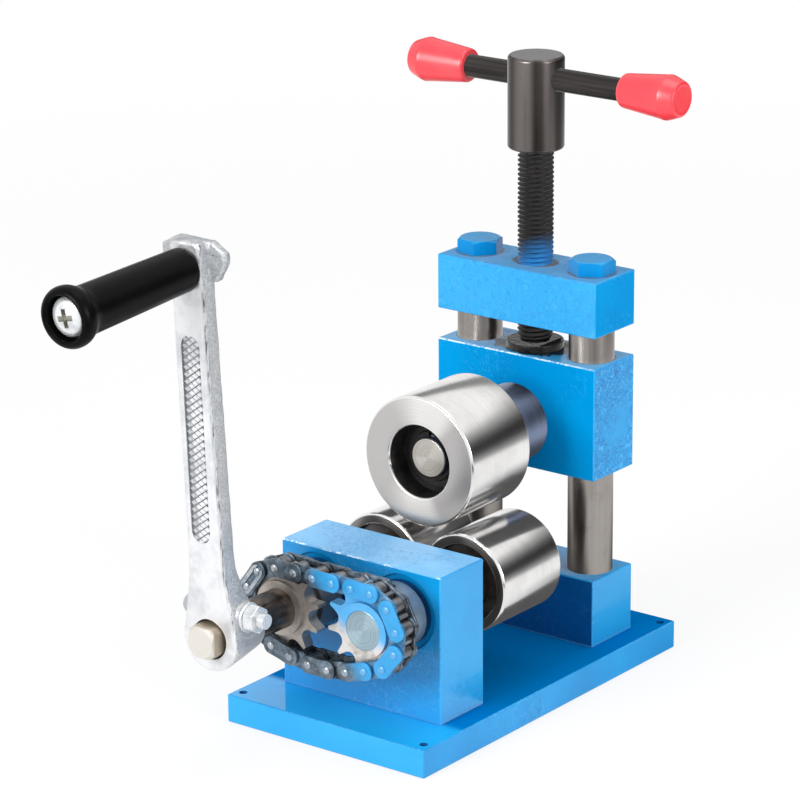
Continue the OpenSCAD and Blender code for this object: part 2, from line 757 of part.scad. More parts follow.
module crank_arm() {
    color(silver) difference() {
        union() {
            at_crank() along_y(0, 0, 0) cylinder(d = eye_d, h = eye_rim);
            at_crank() along_y(0, eye_rim, 0) cylinder(d1 = eye_d, d2 = eye_rear_d, h = eye_l - eye_rim);
            at_crank() cotter_boss();
            at_arm() slab(0, crank_t) crank_outline();
            at_arm() slab(head_front, crank_t - head_front) translate([0, crank_l]) head_outline();
        }
        at_crank() along_y(0, -over, 0) cylinder(d = eye_bore_d, h = eye_l + 2 * over);
        at_crank() along_x(-eye_d / 2 + 2, cotter_depth, cotter_z) cylinder(d = cotter_d + 2 * seat, h = 2 * eye_d);
        at_arm() along_y(0, -over, crank_l) cylinder(d = grip_bolt_d + 2 * seat, h = crank_t + 2 * over);
        at_arm() slab(-over, over + panel_sink) translate([0, panel_low]) rotate(90)
            stadium(panel_high - panel_low, panel_w);
    }
}
module cotter_pin() {
    from = -eye_d / 2 + 2.2;
    nut_end = boss_right + cotter_washer_t + cotter_nut_h;
    color(silver) at_crank() union() {
        difference() {
            along_x(from, cotter_depth, cotter_z) cylinder(d = cotter_d, h = boss_right - 0.5 - from);
            translate([-eye_d, cotter_depth - cotter_d, -eye_d]) cube([2 * eye_d, 2 * cotter_d, eye_d + cotter_flat]);
        }
        along_x(boss_right - 1, cotter_depth, cotter_z) cylinder(d = cotter_thread_d, h = nut_end - boss_right + 1 + cotter_stub);
    }
}
module cotter_washer() {
    color(silver) at_crank() along_x(boss_right, cotter_depth, cotter_z)
        tube(cotter_boss_d, cotter_thread_d + 2 * seat, cotter_washer_t);
}
module cotter_nut() {
    color(silver) at_crank() along_x(boss_right + cotter_washer_t, cotter_depth, cotter_z)
        hex_nut(cotter_flats, cotter_thread_d + 2 * seat, cotter_nut_h);
}
// Puts what is drawn along Z on the grip's axis, from the arm's front face outwards
module at_grip() {
    at_arm() translate([0, 0, crank_l]) rotate([90, 0, 0]) children();
}
module crank_grip() {
    flare = grip_l - grip_flare_l;
    lip = grip_end_d / 2;
    bore_r = grip_bolt_d / 2 + run;
    color(black) at_grip() rotate_extrude() polygon([
        [bore_r, pass], [grip_root_d / 2 - 1, pass], [grip_root_d / 2, pass + 1], [grip_d / 2, flare],
        [grip_d / 2 + 0.25 * (lip - grip_d / 2), flare + 2], [lip - 0.3, flare + 5], [lip, flare + 6.5],
        [lip - 0.2, grip_l - 2], [lip - 1.2, grip_l - 0.5], [lip - 2.2, grip_l], [grip_recess_d / 2 + 0.6, grip_l],
        [grip_recess_d / 2, grip_l - 0.8], [grip_recess_d / 2, grip_floor], [bore_r, grip_floor]
    ]);
}
module grip_bolt() {
    color(silver) at_grip() difference() {
        union() {
            translate([0, 0, -crank_t - grip_nut_h - 1.5]) cylinder(d = grip_bolt_d, h = grip_floor + crank_t + grip_nut_h + 2);
            translate([0, 0, grip_floor + 0.1]) cylinder(d1 = grip_head_d, d2 = 0.86 * grip_head_d, h = grip_head_h);
        }
        for (a = [0, 90]) rotate(a + 45) translate([-grip_bolt_d / 2, -0.8, grip_floor + grip_head_h - 1.8])
            cube([grip_bolt_d, 1.6, 3]);
    }
}
module grip_nut() {
    color(silver) at_grip() translate([0, 0, -crank_t - grip_nut_h])
        hex_nut(grip_nut_flats, grip_bolt_d + 2 * seat, grip_nut_h);
}

// Carriage and upper roller
module carriage_block() {
    color(blue) difference() {
        translate([-block_w / 2, rear_block_y, carriage_z]) cube([block_w, block_t, carriage_h]);
        for (x = [-post_x, post_x])
            translate([x, column_y, carriage_z - over]) cylinder(d = post_d + 2 * run, h = carriage_h + 2 * over);
        along_y(0, rear_block_y - over, upper_z) cylinder(d = spindle_tail_d + 2 * seat, h = block_t + 2 * over);
        translate([0, column_y, pocket_floor_z]) cylinder(d = gland_body_d + 2 * seat, h = carriage_h);
    }
}
module screw_gland() {
    color(black) translate([0, column_y, 0]) difference() {
        union() {
            translate([0, 0, gland_z]) cylinder(d = gland_body_d, h = carriage_top - gland_z);
            translate([0, 0, carriage_top]) cylinder(d = gland_d, h = gland_t);
        }
        translate([0, 0, gland_z - over]) cylinder(d = screw_neck_d + 2 * run, h = carriage_top - gland_z + gland_t + 2 * over);
    }
}
module upper_spindle() {
    shoulder = rear_block_y - upper_rear_bearing_y - upper_bearing_w;
    color(ground) difference() {
        union() {
            along_y(0, rear_block_y - over, upper_z) cylinder(d = spindle_tail_d, h = block_t + over);
            along_y(0, rear_block_y - collar_l, upper_z) cylinder(d = collar_d, h = collar_l);
            along_y(0, rear_block_y - shoulder, upper_z) cylinder(d = spindle_shoulder_d, h = shoulder);
            along_y(0, spindle_front, upper_z) cylinder(d = spindle_d, h = rear_block_y - spindle_front);
        }
        along_y(0, upper_front_bearing_y - ring_t, upper_z) tube(spindle_d + over, spindle_d - 1, ring_t);
    }
}
module spindle_retaining_ring() {
    color(black) along_y(0, upper_front_bearing_y - ring_t, upper_z) retaining_ring(spindle_d - 1 + 2 * seat);
}
module upper_bearing_inner_rings() {
    color(steel) at_upper_bearings() bearing_inner(spindle_d, upper_bearing_od, upper_bearing_w);
}
module upper_bearing_outer_rings() {
    color(steel) at_upper_bearings() bearing_outer(spindle_d, upper_bearing_od, upper_bearing_w);
}
module upper_bearing_balls() {
    color(steel) at_upper_bearings() bearing_ball_row(spindle_d, upper_bearing_od, upper_bearing_w);
}
module upper_bearing_shields() {
    color(ground) at_upper_bearings() bearing_shield_pair(spindle_d, upper_bearing_od, upper_bearing_w);
}
module upper_roller() {
    r = upper_roller_d / 2;
    bore_r = upper_bearing_od / 2;
    front_seat = upper_front_bearing_y + upper_bearing_w - upper_y;
    rear_seat = upper_rear_bearing_y - upper_y;
    color(steel) along_y(0, upper_y, upper_z) rotate_extrude() polygon([
        [bore_r + roller_edge, 0], [r - roller_edge, 0], [r, roller_edge], [r, roller_l - roller_edge],
        [r - roller_edge, roller_l], [bore_r, roller_l], [bore_r, rear_seat], [upper_mid_d / 2, rear_seat],
        [upper_mid_d / 2, front_seat], [bore_r, front_seat], [bore_r, roller_edge]
    ]);
}

// Screw and handle
module lead_screw() {
    thread_n = floor((hub_z - thread_z) / thread_pitch);
    root_r = screw_d / 2 - thread_depth;
    ridge = [for (i = [0 : thread_n - 1], p = [[root_r, 0.1], [screw_d / 2, 0.45], [screw_d / 2, 0.55], [root_r, 0.9]])
        [p[0], thread_z + (i + p[1]) * thread_pitch]];
    color(black) translate([0, column_y, 0]) union() {
        translate([0, 0, thrust_z]) cylinder(d = screw_stub_d, h = thrust_h);
        translate([0, 0, thrust_z + thrust_h]) cylinder(d = screw_neck_d, h = thread_z - thrust_z - thrust_h);
        rotate_extrude() polygon(concat([[0, thread_z], [root_r, thread_z]], ridge, [[root_r, hub_z], [0, hub_z]]));
        translate([0, 0, hub_z]) cylinder(d = screw_neck_d, h = spigot_l);
    }
}
module thrust_collar() {
    color(black) translate([0, column_y, thrust_z]) tube(thrust_d, screw_stub_d + 2 * seat, thrust_h);
}
module handle_hub() {
    r = hub_d / 2;
    color(black) translate([0, column_y, hub_z]) difference() {
        rotate_extrude() polygon([
            [0, 0], [r - hub_edge, 0], [r, hub_edge], [r, hub_h - hub_edge], [r - hub_edge, hub_h], [0, hub_h]
        ]);
        translate([0, 0, -over]) cylinder(d = screw_neck_d + 2 * seat, h = spigot_l + over);
        along_x(-hub_d, 0, hub_h - bar_drop) cylinder(d = bar_d + 2 * run, h = 2 * hub_d);
    }
}
module cross_bar() {
    color(black) along_x(bar_shift - bar_half - cap_l + cap_wall, column_y, bar_z)
        cylinder(d = bar_d, h = 2 * (bar_half + cap_l - cap_wall));
}
// A cap from its inner face outwards, along Z
module cap() {
    color(red) rotate_extrude() polygon([
        [bar_d / 2 + seat, 0], [cap_small_d / 2 - 0.6, 0], [cap_small_d / 2, 0.6], [cap_large_d / 2 - 0.3, cap_l - cap_nose - 1],
        [cap_large_d / 2, cap_l - cap_nose], [cap_large_d / 2 - 0.5, cap_l - cap_nose + 1.5], [cap_end_d / 2 + 0.6, cap_l - 0.5],
        [cap_end_d / 2, cap_l], [0, cap_l], [0, cap_l - cap_wall + seat], [bar_d / 2 + seat, cap_l - cap_wall + seat]
    ]);
}
module cap_left() {
    translate([bar_shift - bar_half, column_y, bar_z]) rotate([0, -90, 0]) cap();
}
module cap_right() {
    translate([bar_shift + bar_half, column_y, bar_z]) rotate([0, 90, 0]) cap();
}

base_plate();
front_bearing_block();
rear_post_block();
guide_post_left();
guide_post_right();
bridge_bar();
bridge_bolts();
block_screws();
lower_bearing_outer_rings();
lower_bearing_balls();
lower_bearing_shields();
chain_outer_plates();
chain_inner_plates();
chain_pins();
chain_rollers();
chain_clip();
carriage_block();
screw_gland();
upper_spindle();
upper_bearing_inner_rings();
spindle_retaining_ring();
lead_screw();
thrust_collar();
handle_hub();
cross_bar();
cap_left();
cap_right();
upper_roller();
upper_bearing_outer_rings();
upper_bearing_balls();
upper_bearing_shields();
drive_shaft();
drive_roller();
drive_bearing_inner_rings();
drive_sleeve();
drive_retaining_ring();
drive_sprocket();
drive_set_screw();
crank_arm();
cotter_pin();
cotter_washer();
cotter_nut();
grip_bolt();
grip_nut();
crank_grip();
driven_shaft();
driven_roller();
driven_bearing_inner_rings();
driven_sleeve();
driven_retaining_ring();
driven_sprocket();
driven_set_screw();
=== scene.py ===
"""Looks of a bench-top ring bending machine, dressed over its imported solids.

Lengths are millimetres until a mesh is finished, then metres, in the part's own frame: X across the machine,
Y from the crank to the rear posts, Z up, with the origin at the centre of the base plate's underside.
"""
from __future__ import annotations

import logging
import math
from dataclasses import dataclass, field
from enum import Enum, IntEnum
from typing import Any, Callable, Iterable, Sequence

import bmesh
import bpy
from bmesh.types import BMVert, BMesh
from bpy.types import ColorRamp, Material, Mesh, MeshPolygon, Node, NodeSocket, NodeTree, Object
from mathutils import Matrix, Vector, noise


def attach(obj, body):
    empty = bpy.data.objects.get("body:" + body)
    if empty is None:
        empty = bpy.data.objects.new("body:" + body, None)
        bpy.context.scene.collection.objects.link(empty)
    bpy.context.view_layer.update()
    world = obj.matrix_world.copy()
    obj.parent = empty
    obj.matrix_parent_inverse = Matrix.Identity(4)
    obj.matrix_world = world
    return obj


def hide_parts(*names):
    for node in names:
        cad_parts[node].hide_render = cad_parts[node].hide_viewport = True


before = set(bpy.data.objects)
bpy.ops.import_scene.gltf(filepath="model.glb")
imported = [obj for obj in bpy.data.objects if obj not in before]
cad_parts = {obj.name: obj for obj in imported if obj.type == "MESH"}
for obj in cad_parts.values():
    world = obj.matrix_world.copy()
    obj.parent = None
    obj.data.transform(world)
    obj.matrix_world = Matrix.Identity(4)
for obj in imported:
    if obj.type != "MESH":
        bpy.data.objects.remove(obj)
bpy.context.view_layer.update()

MM = 0.001
COLUMN_Y = 55.85  # the row of the screw and the posts
POST_X = 28.5  # each post, from the middle
SHAFT_X = 21.2  # each lower shaft, from the middle
SHAFT_Z = 56.1  # height of the lower shafts
CHAIN_Y = -85.2  # the chain's middle plane
OFF = 1000.0  # a limit that lies beyond the machine
LOG = logging.getLogger("ring_bender")
Colour = tuple[float, float, float, float]
Point = tuple[float, float]
Triple = tuple[float, float, float]


class Body(Enum):
    """The bodies that pieces ride on."""

    FRAME = "frame"
    CARRIAGE = "carriage"
    SCREW = "screw"
    BAR = "handle_bar"
    UPPER = "upper_roller_body"
    CRANK = "crank_drive"
    GRIP = "grip"
    DRIVEN = "driven_roller_body"


class Slot(Enum):
    """Material slot names, one passed with each piece."""

    PAINT = "blue_paint"
    POLISHED = "polished_steel"
    GROUND = "ground_steel"
    BLACK = "black_steel"
    RED = "red_plastic"
    GRIP = "black_plastic"
    CAST = "cast_silver"
    ZINC = "zinc_plate"
    RAW = "raw_steel"
    CHAIN = "chain_steel"
    BRIGHT = "chain_bright"


class Side(Enum):
    """Left and right of the machine, seen from the crank."""

    LEFT = -1
    RIGHT = 1


class Coat(IntEnum):
    """The places of the enamel coats in a painted block's list of finishes."""

    BODY = 0
    EDGE = 1
    RUBBED = 2
    WORMY = 3
    TOP = 4
    SHEEN = 5
    DEEP = 6
    SHADE = 7
    SIDE = 8
    GREASED = 9
    OILED = 10
    PALE = 11


def linear(code: str) -> Colour:
    """Gives the linear colour of a hex code.

    Args:
        code: Six hex digits, as in a paint card.

    Returns:
        Red, green, blue and alpha, linear.
    """
    parts = [int(code[i:i + 2], 16) / 255 for i in (0, 2, 4)]
    flat = [c / 12.92 if c <= 0.04045 else ((c + 0.055) / 1.055) ** 2.4 for c in parts]
    return flat[0], flat[1], flat[2], 1.0


@dataclass(frozen=True)
class Wire:
    """An output socket whose operators add Math nodes to its tree."""

    graph: NodeGraph
    socket: NodeSocket

    def maths(self, operation: str, *values: Wire | float) -> Wire:
        """Adds one Math node.

        Args:
            operation: The Math node's operation.
            values: Its inputs, in order.

        Returns:
            The node's result.
        """
        node = self.graph.add("ShaderNodeMath", {"operation": operation}, dict(enumerate(values)))
        return self.graph.wire(node)

    def __add__(self, other: Wire | float) -> Wire:
        """Sum."""
        return self.maths("ADD", self, other)

    __radd__ = __add__

    def __sub__(self, other: Wire | float) -> Wire:
        """Difference."""
        return self.maths("SUBTRACT", self, other)

    def __rsub__(self, other: float) -> Wire:
        """Difference from a number."""
        return self.maths("SUBTRACT", other, self)

    def __mul__(self, other: Wire | float) -> Wire:
        """Product."""
        return self.maths("MULTIPLY", self, other)

    __rmul__ = __mul__

    def __truediv__(self, other: Wire | float) -> Wire:
        """Quotient."""
        return self.maths("DIVIDE", self, other)

    def __rtruediv__(self, other: float) -> Wire:
        """Quotient of a number."""
        return self.maths("DIVIDE", other, self)

    def __abs__(self) -> Wire:
        """Absolute value."""
        return self.maths("ABSOLUTE", self)

    def root(self) -> Wire:
        """Square root."""
        return self.maths("SQRT", self)

    def cosine(self) -> Wire:
        """Cosine of an angle in radians."""
        return self.maths("COSINE", self)

    def least(self, other: Wire | float) -> Wire:
        """The smaller of two values."""
        return self.maths("MINIMUM", self, other)

    def most(self, other: Wire | float) -> Wire:
        """The larger of two values."""
        return self.maths("MAXIMUM", self, other)

    def step(self, low: float, high: float) -> Wire:
        """A smooth step from 0 at low to 1 at high."""
        node = self.graph.add("ShaderNodeMapRange", {"interpolation_type": "SMOOTHSTEP"},
                              {"Value": self, "From Min": low, "From Max": high})
        return self.graph.wire(node)


class NodeGraph:
    """A node tree under construction."""

    def __init__(self, tree: NodeTree) -> None:
        """Takes the tree to build in."""
        self.tree = tree

    @staticmethod
    def _pick(sockets: Any, key: str | int) -> NodeSocket:
        """Finds a socket by place, identifier or name."""
        if isinstance(key, int):
            return sockets[key]
        for attribute in ("identifier", "name"):
            for socket in sockets:
                if getattr(socket, attribute) == key:
                    return socket
        raise KeyError(key)

    def add(self, kind: str, settings: dict[str, Any] | None = None,
            inputs: dict[str | int, Any] | None = None) -> Node:
        """Adds a node.

        Args:
            kind: The node's type.
            settings: Its properties, set first; "stops" holds a ramp's places and colours.
            inputs: Values or wires for its sockets, by place, identifier or name.

        Returns:
            The node.
        """
        node = self.tree.nodes.new(kind)
        for key, value in (settings or {}).items():
            if key == "stops":
                self._ramp(node.color_ramp, value)
            else:
                setattr(node, key, value)
        for key, value in (inputs or {}).items():
            socket = self._pick(node.inputs, key)
            if isinstance(value, Wire):
                self.tree.links.new(value.socket, socket)
            else:
                socket.default_value = value
        return node

    @staticmethod
    def _ramp(ramp: ColorRamp, stops: Sequence[tuple[float, Colour]]) -> None:
        """Sets a colour ramp's stops."""
        while len(ramp.elements) < len(stops):
            ramp.elements.new(1.0)
        for element, (place, colour) in zip(ramp.elements, stops):
            element.position = place
            element.color = colour

    def wire(self, node: Node, output: str | int = 0) -> Wire:
        """Wraps one output of a node."""
        return Wire(self, self._pick(node.outputs, output))


class ShaderGraph(NodeGraph):
    """The node tree of one material."""

    def __init__(self, name: str) -> None:
        """Makes an empty material of that name."""
        self.material = bpy.data.materials.new(name)
        self.material.use_nodes = True
        super().__init__(self.material.node_tree)
        self.tree.nodes.clear()

    def place(self) -> Wire:
        """Object coordinates, in metres in the part's frame."""
        return self.wire(self.add("ShaderNodeTexCoord"), "Object")

    def split(self, vector: Wire) -> tuple[Wire, Wire, Wire]:
        """The three parts of a vector."""
        node = self.add("ShaderNodeSeparateXYZ", inputs={0: vector})
        return self.wire(node, 0), self.wire(node, 1), self.wire(node, 2)

    def join(self, x: Wire | float, y: Wire | float, z: Wire | float) -> Wire:
        """A vector from its three parts."""
        return self.wire(self.add("ShaderNodeCombineXYZ", inputs={0: x, 1: y, 2: z}))

    def scaled(self, vector: Wire, factors: Triple) -> Wire:
        """A vector with each part multiplied."""
        node = self.add("ShaderNodeVectorMath", {"operation": "MULTIPLY"}, {0: vector, 1: factors})
        return self.wire(node)

    def noise(self, vector: Wire, scale: float, detail: float = 2.0, rough: float = 0.5,
              twist: float = 0.0) -> Wire:
        """A noise value.

        Args:
            vector: Where it is read.
            scale: Its frequency, per metre.
            detail: Octaves.
            rough: Share of each finer octave.
            twist: Distortion.

        Returns:
            The noise, about 0.5.
        """
        node = self.add("ShaderNodeTexNoise", inputs={
            "Vector": vector, "Scale": scale, "Detail": detail, "Roughness": rough, "Distortion": twist})
        return self.wire(node)

    def cells(self, vector: Wire, scale: float) -> Wire:
        """Distance to the nearest of scattered points."""
        return self.wire(self.add("ShaderNodeTexVoronoi", inputs={"Vector": vector, "Scale": scale}))

    def blend(self, factor: Wire | float, first: Wire | str, second: Wire | str) -> Wire:
        """Mixes two colours.

        Args:
            factor: The share of the second.
            first: A wire or a hex code.
            second: A wire or a hex code.

        Returns:
            The mixed colour.
        """
        ends = [end if isinstance(end, Wire) else linear(end) for end in (first, second)]
        node = self.add("ShaderNodeMix", {"data_type": "RGBA", "clamp_factor": True},
                        {"Factor_Float": factor, "A_Color": ends[0], "B_Color": ends[1]})
        return self.wire(node, "Result_Color")

    def bump(self, height: Wire, strength: float, depth: float) -> Wire:
        """A normal from a height, with its depth in millimetres."""
        node = self.add("ShaderNodeBump", inputs={
            "Strength": strength, "Distance": depth * MM, "Height": height})
        return self.wire(node)

    def surface(self, **sockets: Any) -> Material:
        """Ends the tree in a Principled shader.

        Args:
            sockets: Its inputs, with underscores for spaces.

        Returns:
            The material.
        """
        inputs = {key.replace("_", " "): value for key, value in sockets.items()}
        return self.end(self.add("ShaderNodeBsdfPrincipled", inputs=inputs))

    def end(self, shader: Node) -> Material:
        """Ends the tree in a shader and gives the material."""
        self.add("ShaderNodeOutputMaterial", inputs={"Surface": self.wire(shader)})
        return self.material


@dataclass(frozen=True)
class Finish:
    """A surface finish, with its main colour as a hex code and the material that shows it."""

    name: str
    colour: str

    def material(self) -> Material:
        """The finish's material, made at its first use."""
        found = bpy.data.materials.get("finish_" + self.name)
        return found or self.paint(ShaderGraph("finish_" + self.name))

    def paint(self, graph: ShaderGraph) -> Material:
        """Builds the material in an empty tree."""
        raise NotImplementedError


@dataclass(frozen=True)
class Enamel(Finish):
    """Gloss enamel with a wormy orange peel that comes and goes."""

    deep: str = "0089CB"
    wear_and_glint: float = 0.0
    peel: float = 0.9
    spread: Point = (0.5, 0.62)
    mirror: float = 0.36
    coat: float = 0.15
    relief: float = 0.5
    coat_to: float = OFF
    # Colour behind coat_to: painted shade behind the lit front strip.
    behind: str = "0072B8"
    depth: float = 0.2
    grease: Point = (0.0, 0.0)
    oval: float = 0.52
    shadow_ring: Point = (9.7, 10.7)

    def grease_and_shadow(self, graph: ShaderGraph, at: Wire) -> Wire:
        """Finds the dark grease, a ragged pool round the screw, and a painted contact shadow in a line round each post
        or bolt.

        Args:
            graph: The material's tree.
            at: Object coordinates.

        Returns:
            The share of grease and painted shadow at a point, from 0 to 1.
        """
        radius, ragged = self.grease
        x, y, _ = graph.split(at)
        dy, dx = y - COLUMN_Y * MM, abs(x) - POST_X * MM
        near, post = (x * x * self.oval + dy * dy).root(), (dx * dx + dy * dy).root()
        rough = (graph.noise(at, 190.0, 3.0, 0.65) - 0.5) * (2 * ragged * MM)
        pool = 1 - (near + rough).step((radius - 0.7) * MM, (radius + 0.5) * MM)
        # Painted contact shadow round the foot of each post or bolt head.
        line = 1 - post.step(self.shadow_ring[0] * MM, self.shadow_ring[1] * MM)
        return pool.most(line * 0.7)

    def paint(self, graph: ShaderGraph) -> Material:
        """Blue film, wormy in patches, with pale dots on its rounded edges: partly wear, partly painted highlight."""
        at = graph.place()
        tone = graph.noise(at, 17.0, 3.0)
        patch = graph.noise(at, 26.0, 2.0, 0.6).step(*self.spread)
        peel = graph.noise(at, 520.0, 1.0, 0.4, 0.9)
        wave = graph.noise(at, 210.0, 1.0, 0.5, 1.2)
        worm = 1 - abs(peel - 0.5).step(0.0, 0.06)
        height = (peel - worm * 0.3) * (patch * 0.92 + 0.08) + wave * 0.3
        body = graph.blend(tone.step(0.3, 0.72), self.deep, self.colour)
        # Painted shade along the peel's winding grooves and painted highlight on its crests, over the real bump.
        body = graph.blend(worm * patch * self.relief, body, "0064AE")
        body = graph.blend(peel.step(0.57, 0.68) * patch * self.relief * 0.4, body, "5CC2FA")
        # Pale dotted edges: partly wear, partly a painted highlight along the edge.
        if self.wear_and_glint > 0:
            dots = graph.noise(at, 620.0, 2.0, 0.6).step(0.4, 0.56) * graph.noise(at, 55.0, 2.0).step(0.36, 0.5)
            body = graph.blend(dots * self.wear_and_glint + self.wear_and_glint * 0.2, body, "D4ECFC")
        # Grease pool, and painted contact shadow round the posts and bolt heads.
        if self.grease[0] > 0:
            body = graph.blend(self.grease_and_shadow(graph, at) * 0.95, body, "0B0D10")
        # Behind coat_to the film turns to a darker colour, painted shade, and the coat's sheen stays on the front
        # strip.
        _, y, _ = graph.split(at)
        front = y.step(self.coat_to * MM, (self.coat_to - 6) * MM)
        body = graph.blend(front, self.behind, body) if self.coat_to < 0 else body
        coat = front * self.coat
        return graph.surface(Base_Color=body, Roughness=tone * 0.14 + patch * 0.05 + 0.17,
                             Specular_IOR_Level=self.mirror, Coat_Weight=coat, Coat_Roughness=0.06, IOR=1.5,
                             Normal=graph.bump(height, self.peel, self.depth))


@dataclass(frozen=True)
class TurnedSteel(Finish):
    """Steel turned about an axis along Y, with fine rings round it."""

    rough: float = 0.18
    rings: float = 0.04

    def paint(self, graph: ShaderGraph) -> Material:
        """Bright steel with tool rings and a faint haze."""
        at = graph.place()
        ring = graph.noise(graph.scaled(at, (30.0, 5200.0, 30.0)), 1.0, 2.0, 0.6)
        haze = graph.noise(at, 60.0, 3.0, 0.6)
        tint = graph.blend(haze.step(0.35, 0.75) * 0.35, self.colour, "C9C6C6")
        body = graph.blend(ring.step(0.35, 0.8) * 0.13, tint, "8A8888")
        return graph.surface(Base_Color=body, Metallic=1.0, Roughness=ring * 0.08 + haze * 0.06 + self.rough - 0.07,
                             Normal=graph.bump(ring, self.rings, 0.02))


@dataclass(frozen=True)
class FacedSteel(Finish):
    """A turned end face: rings about a centre, with a painted highlight in two wedges."""

    centre: Point = (0.0, 0.0)
    turn: float = 1.35
    dark: str = "8E8C8C"
    swirl: float = 0.0
    rings: float = 4200.0
    wedges: float = 1.0

    def paint(self, graph: ShaderGraph) -> Material:
        """Satin steel whose tone turns with the angle about the centre: a painted highlight in wedges."""
        x, _, z = graph.split(graph.place())
        dx, dz = x - self.centre[0] * MM, z - self.centre[1] * MM
        radius = (dx * dx + dz * dz).root()
        angle = dz.maths("ARCTAN2", dz, dx)
        ring = graph.noise(graph.join(radius * self.rings + angle * self.swirl, 0.0, 0.0), 1.0, 2.0, 0.6)
        # Painted highlight: two bright wedges and five faint ones by angle, with dark as the tone between them.
        wedge = (angle * 2.0 - 2 * self.turn).cosine()
        fine = (angle * 5.0 + 0.7).cosine() * 0.18
        sheen = (wedge + fine).step(0.1, 0.95) * self.wedges
        body = graph.blend(sheen, self.dark, self.colour)
        body = graph.blend(ring.step(0.4, 0.7) * (0.9 - self.wedges * 0.6), body, "5E5C5C")
        return graph.surface(Base_Color=body, Metallic=1.0, Roughness=ring * 0.12 + 0.24,
                             Normal=graph.bump(ring, 0.12, 0.02))


@dataclass(frozen=True)
class SwirledEnd(FacedSteel):
    """A shaft's end with the coarse spiral that the tool left, and softer painted wedges of highlight."""

    swirl: float = 1.7
    rings: float = 2100.0
    wedges: float = 0.85


@dataclass(frozen=True)
class GroundSteel(Finish):
    """Ground steel with fine lines along one axis and a soft mottle."""

    lines: Triple = (2600.0, 2600.0, 25.0)
    rough: float = 0.3
    stain: str = "5D534B"
    dim_above: float = OFF

    def paint(self, graph: ShaderGraph) -> Material:
        """Grey steel, lined and slightly stained."""
        at = graph.place()
        line = graph.noise(graph.scaled(at, self.lines), 1.0, 3.0, 0.6)
        spot = graph.noise(at, 90.0, 4.0, 0.65)
        body = graph.blend(spot.step(0.45, 0.8) * 0.55, self.colour, self.stain)
        body = graph.blend(line.step(0.4, 0.75) * 0.16, body, "CFC8C0")
        # Painted shade: the post darkened above dim_above, in the gap between carriage and bridge.
        if self.dim_above < OFF:
            shade_above = graph.split(at)[2].step((self.dim_above - 1) * MM, (self.dim_above + 3) * MM)
            body = graph.blend(shade_above * (spot * 0.25 + 0.14), body, "3A3735")
        return graph.surface(Base_Color=body, Metallic=1.0, Roughness=line * 0.16 + self.rough - 0.08,
                             Normal=graph.bump(line, 0.08, 0.03))


@dataclass(frozen=True)
class ShaftSteel(Finish):
    """The crank shaft: brown ground steel with a pale plated end."""

    pale: str = "CFCBC4"
    split_y: float = -112.0
    face_y: Point = (-137.5, -136.2)

    def paint(self, graph: ShaderGraph) -> Material:
        """Brown steel that turns pale in front of split_y, palest on its end face, with painted shade on the square's
        sides.
        """
        at = graph.place()
        _, y, _ = graph.split(at)
        end = y.step((self.split_y + 2) * MM, (self.split_y - 2) * MM)
        line = graph.noise(graph.scaled(at, (40.0, 4200.0, 40.0)), 1.0, 2.0, 0.6)
        spot = graph.noise(at, 140.0, 4.0, 0.65)
        brown = graph.blend(spot.step(0.4, 0.75), self.colour, "4A423D")
        # The square's sides darker than its end face: painted shade.
        cream = graph.blend(y.step(self.face_y[0] * MM, self.face_y[1] * MM), self.pale, "A89A88")
        cream = graph.blend(spot.step(0.5, 0.85) * 0.5, cream, "9D9283")
        body = graph.blend(end, brown, cream)
        return graph.surface(Base_Color=body, Metallic=1.0 - end * 0.45, Roughness=line * 0.14 + 0.24 + end * 0.12,
                             Normal=graph.bump(line + spot * 0.4, 0.1, 0.03))


@dataclass(frozen=True)
class Overspray:
    """Where blue overspray lies on the drive: to the right of a slanted line in X and Z."""

    foot: Point = (8.3, 53.9)
    lean: Point = (0.854, 0.52)
    soft: float = 6.0
    above: float = -10.0
    before: float = OFF

    def mask(self, graph: ShaderGraph) -> Wire:
        """The share of overspray at a point, with a ragged edge."""
        at = graph.place()
        x, y, z = graph.split(at)
        reach = (x - self.foot[0] * MM) * self.lean[0] + (z - self.foot[1] * MM) * self.lean[1]
        ragged = (graph.noise(at, 150.0, 3.0) - 0.5) * (5.0 * MM)
        over = z.step(self.above * MM, (self.above + 1) * MM)
        ahead = y.step((self.before + 1) * MM, (self.before - 1) * MM)
        return (reach + ragged).step(-self.soft * MM, self.soft * MM) * (over * ahead)


@dataclass(frozen=True)
class ChainSteel(Finish):
    """Heat-blued chain steel with blue overspray on the right of the drive."""

    spray: Overspray = Overspray(before=CHAIN_Y)
    cover: float = 0.92

    def paint(self, graph: ShaderGraph) -> Material:
        """Blue-grey steel under a partial film of enamel."""
        at = graph.place()
        spot = graph.noise(at, 260.0, 4.0, 0.65)
        bare = graph.blend(spot.step(0.35, 0.75), self.colour, "8394A2")
        film = self.spray.mask(graph) * self.cover
        body = graph.blend(film, bare, "1C93CF")
        return graph.surface(Base_Color=body, Metallic=0.85 - film * 0.8, Roughness=spot * 0.2 + 0.26,
                             Coat_Weight=0.15, Coat_Roughness=0.1,
                             Normal=graph.bump(spot, 0.12, 0.05))


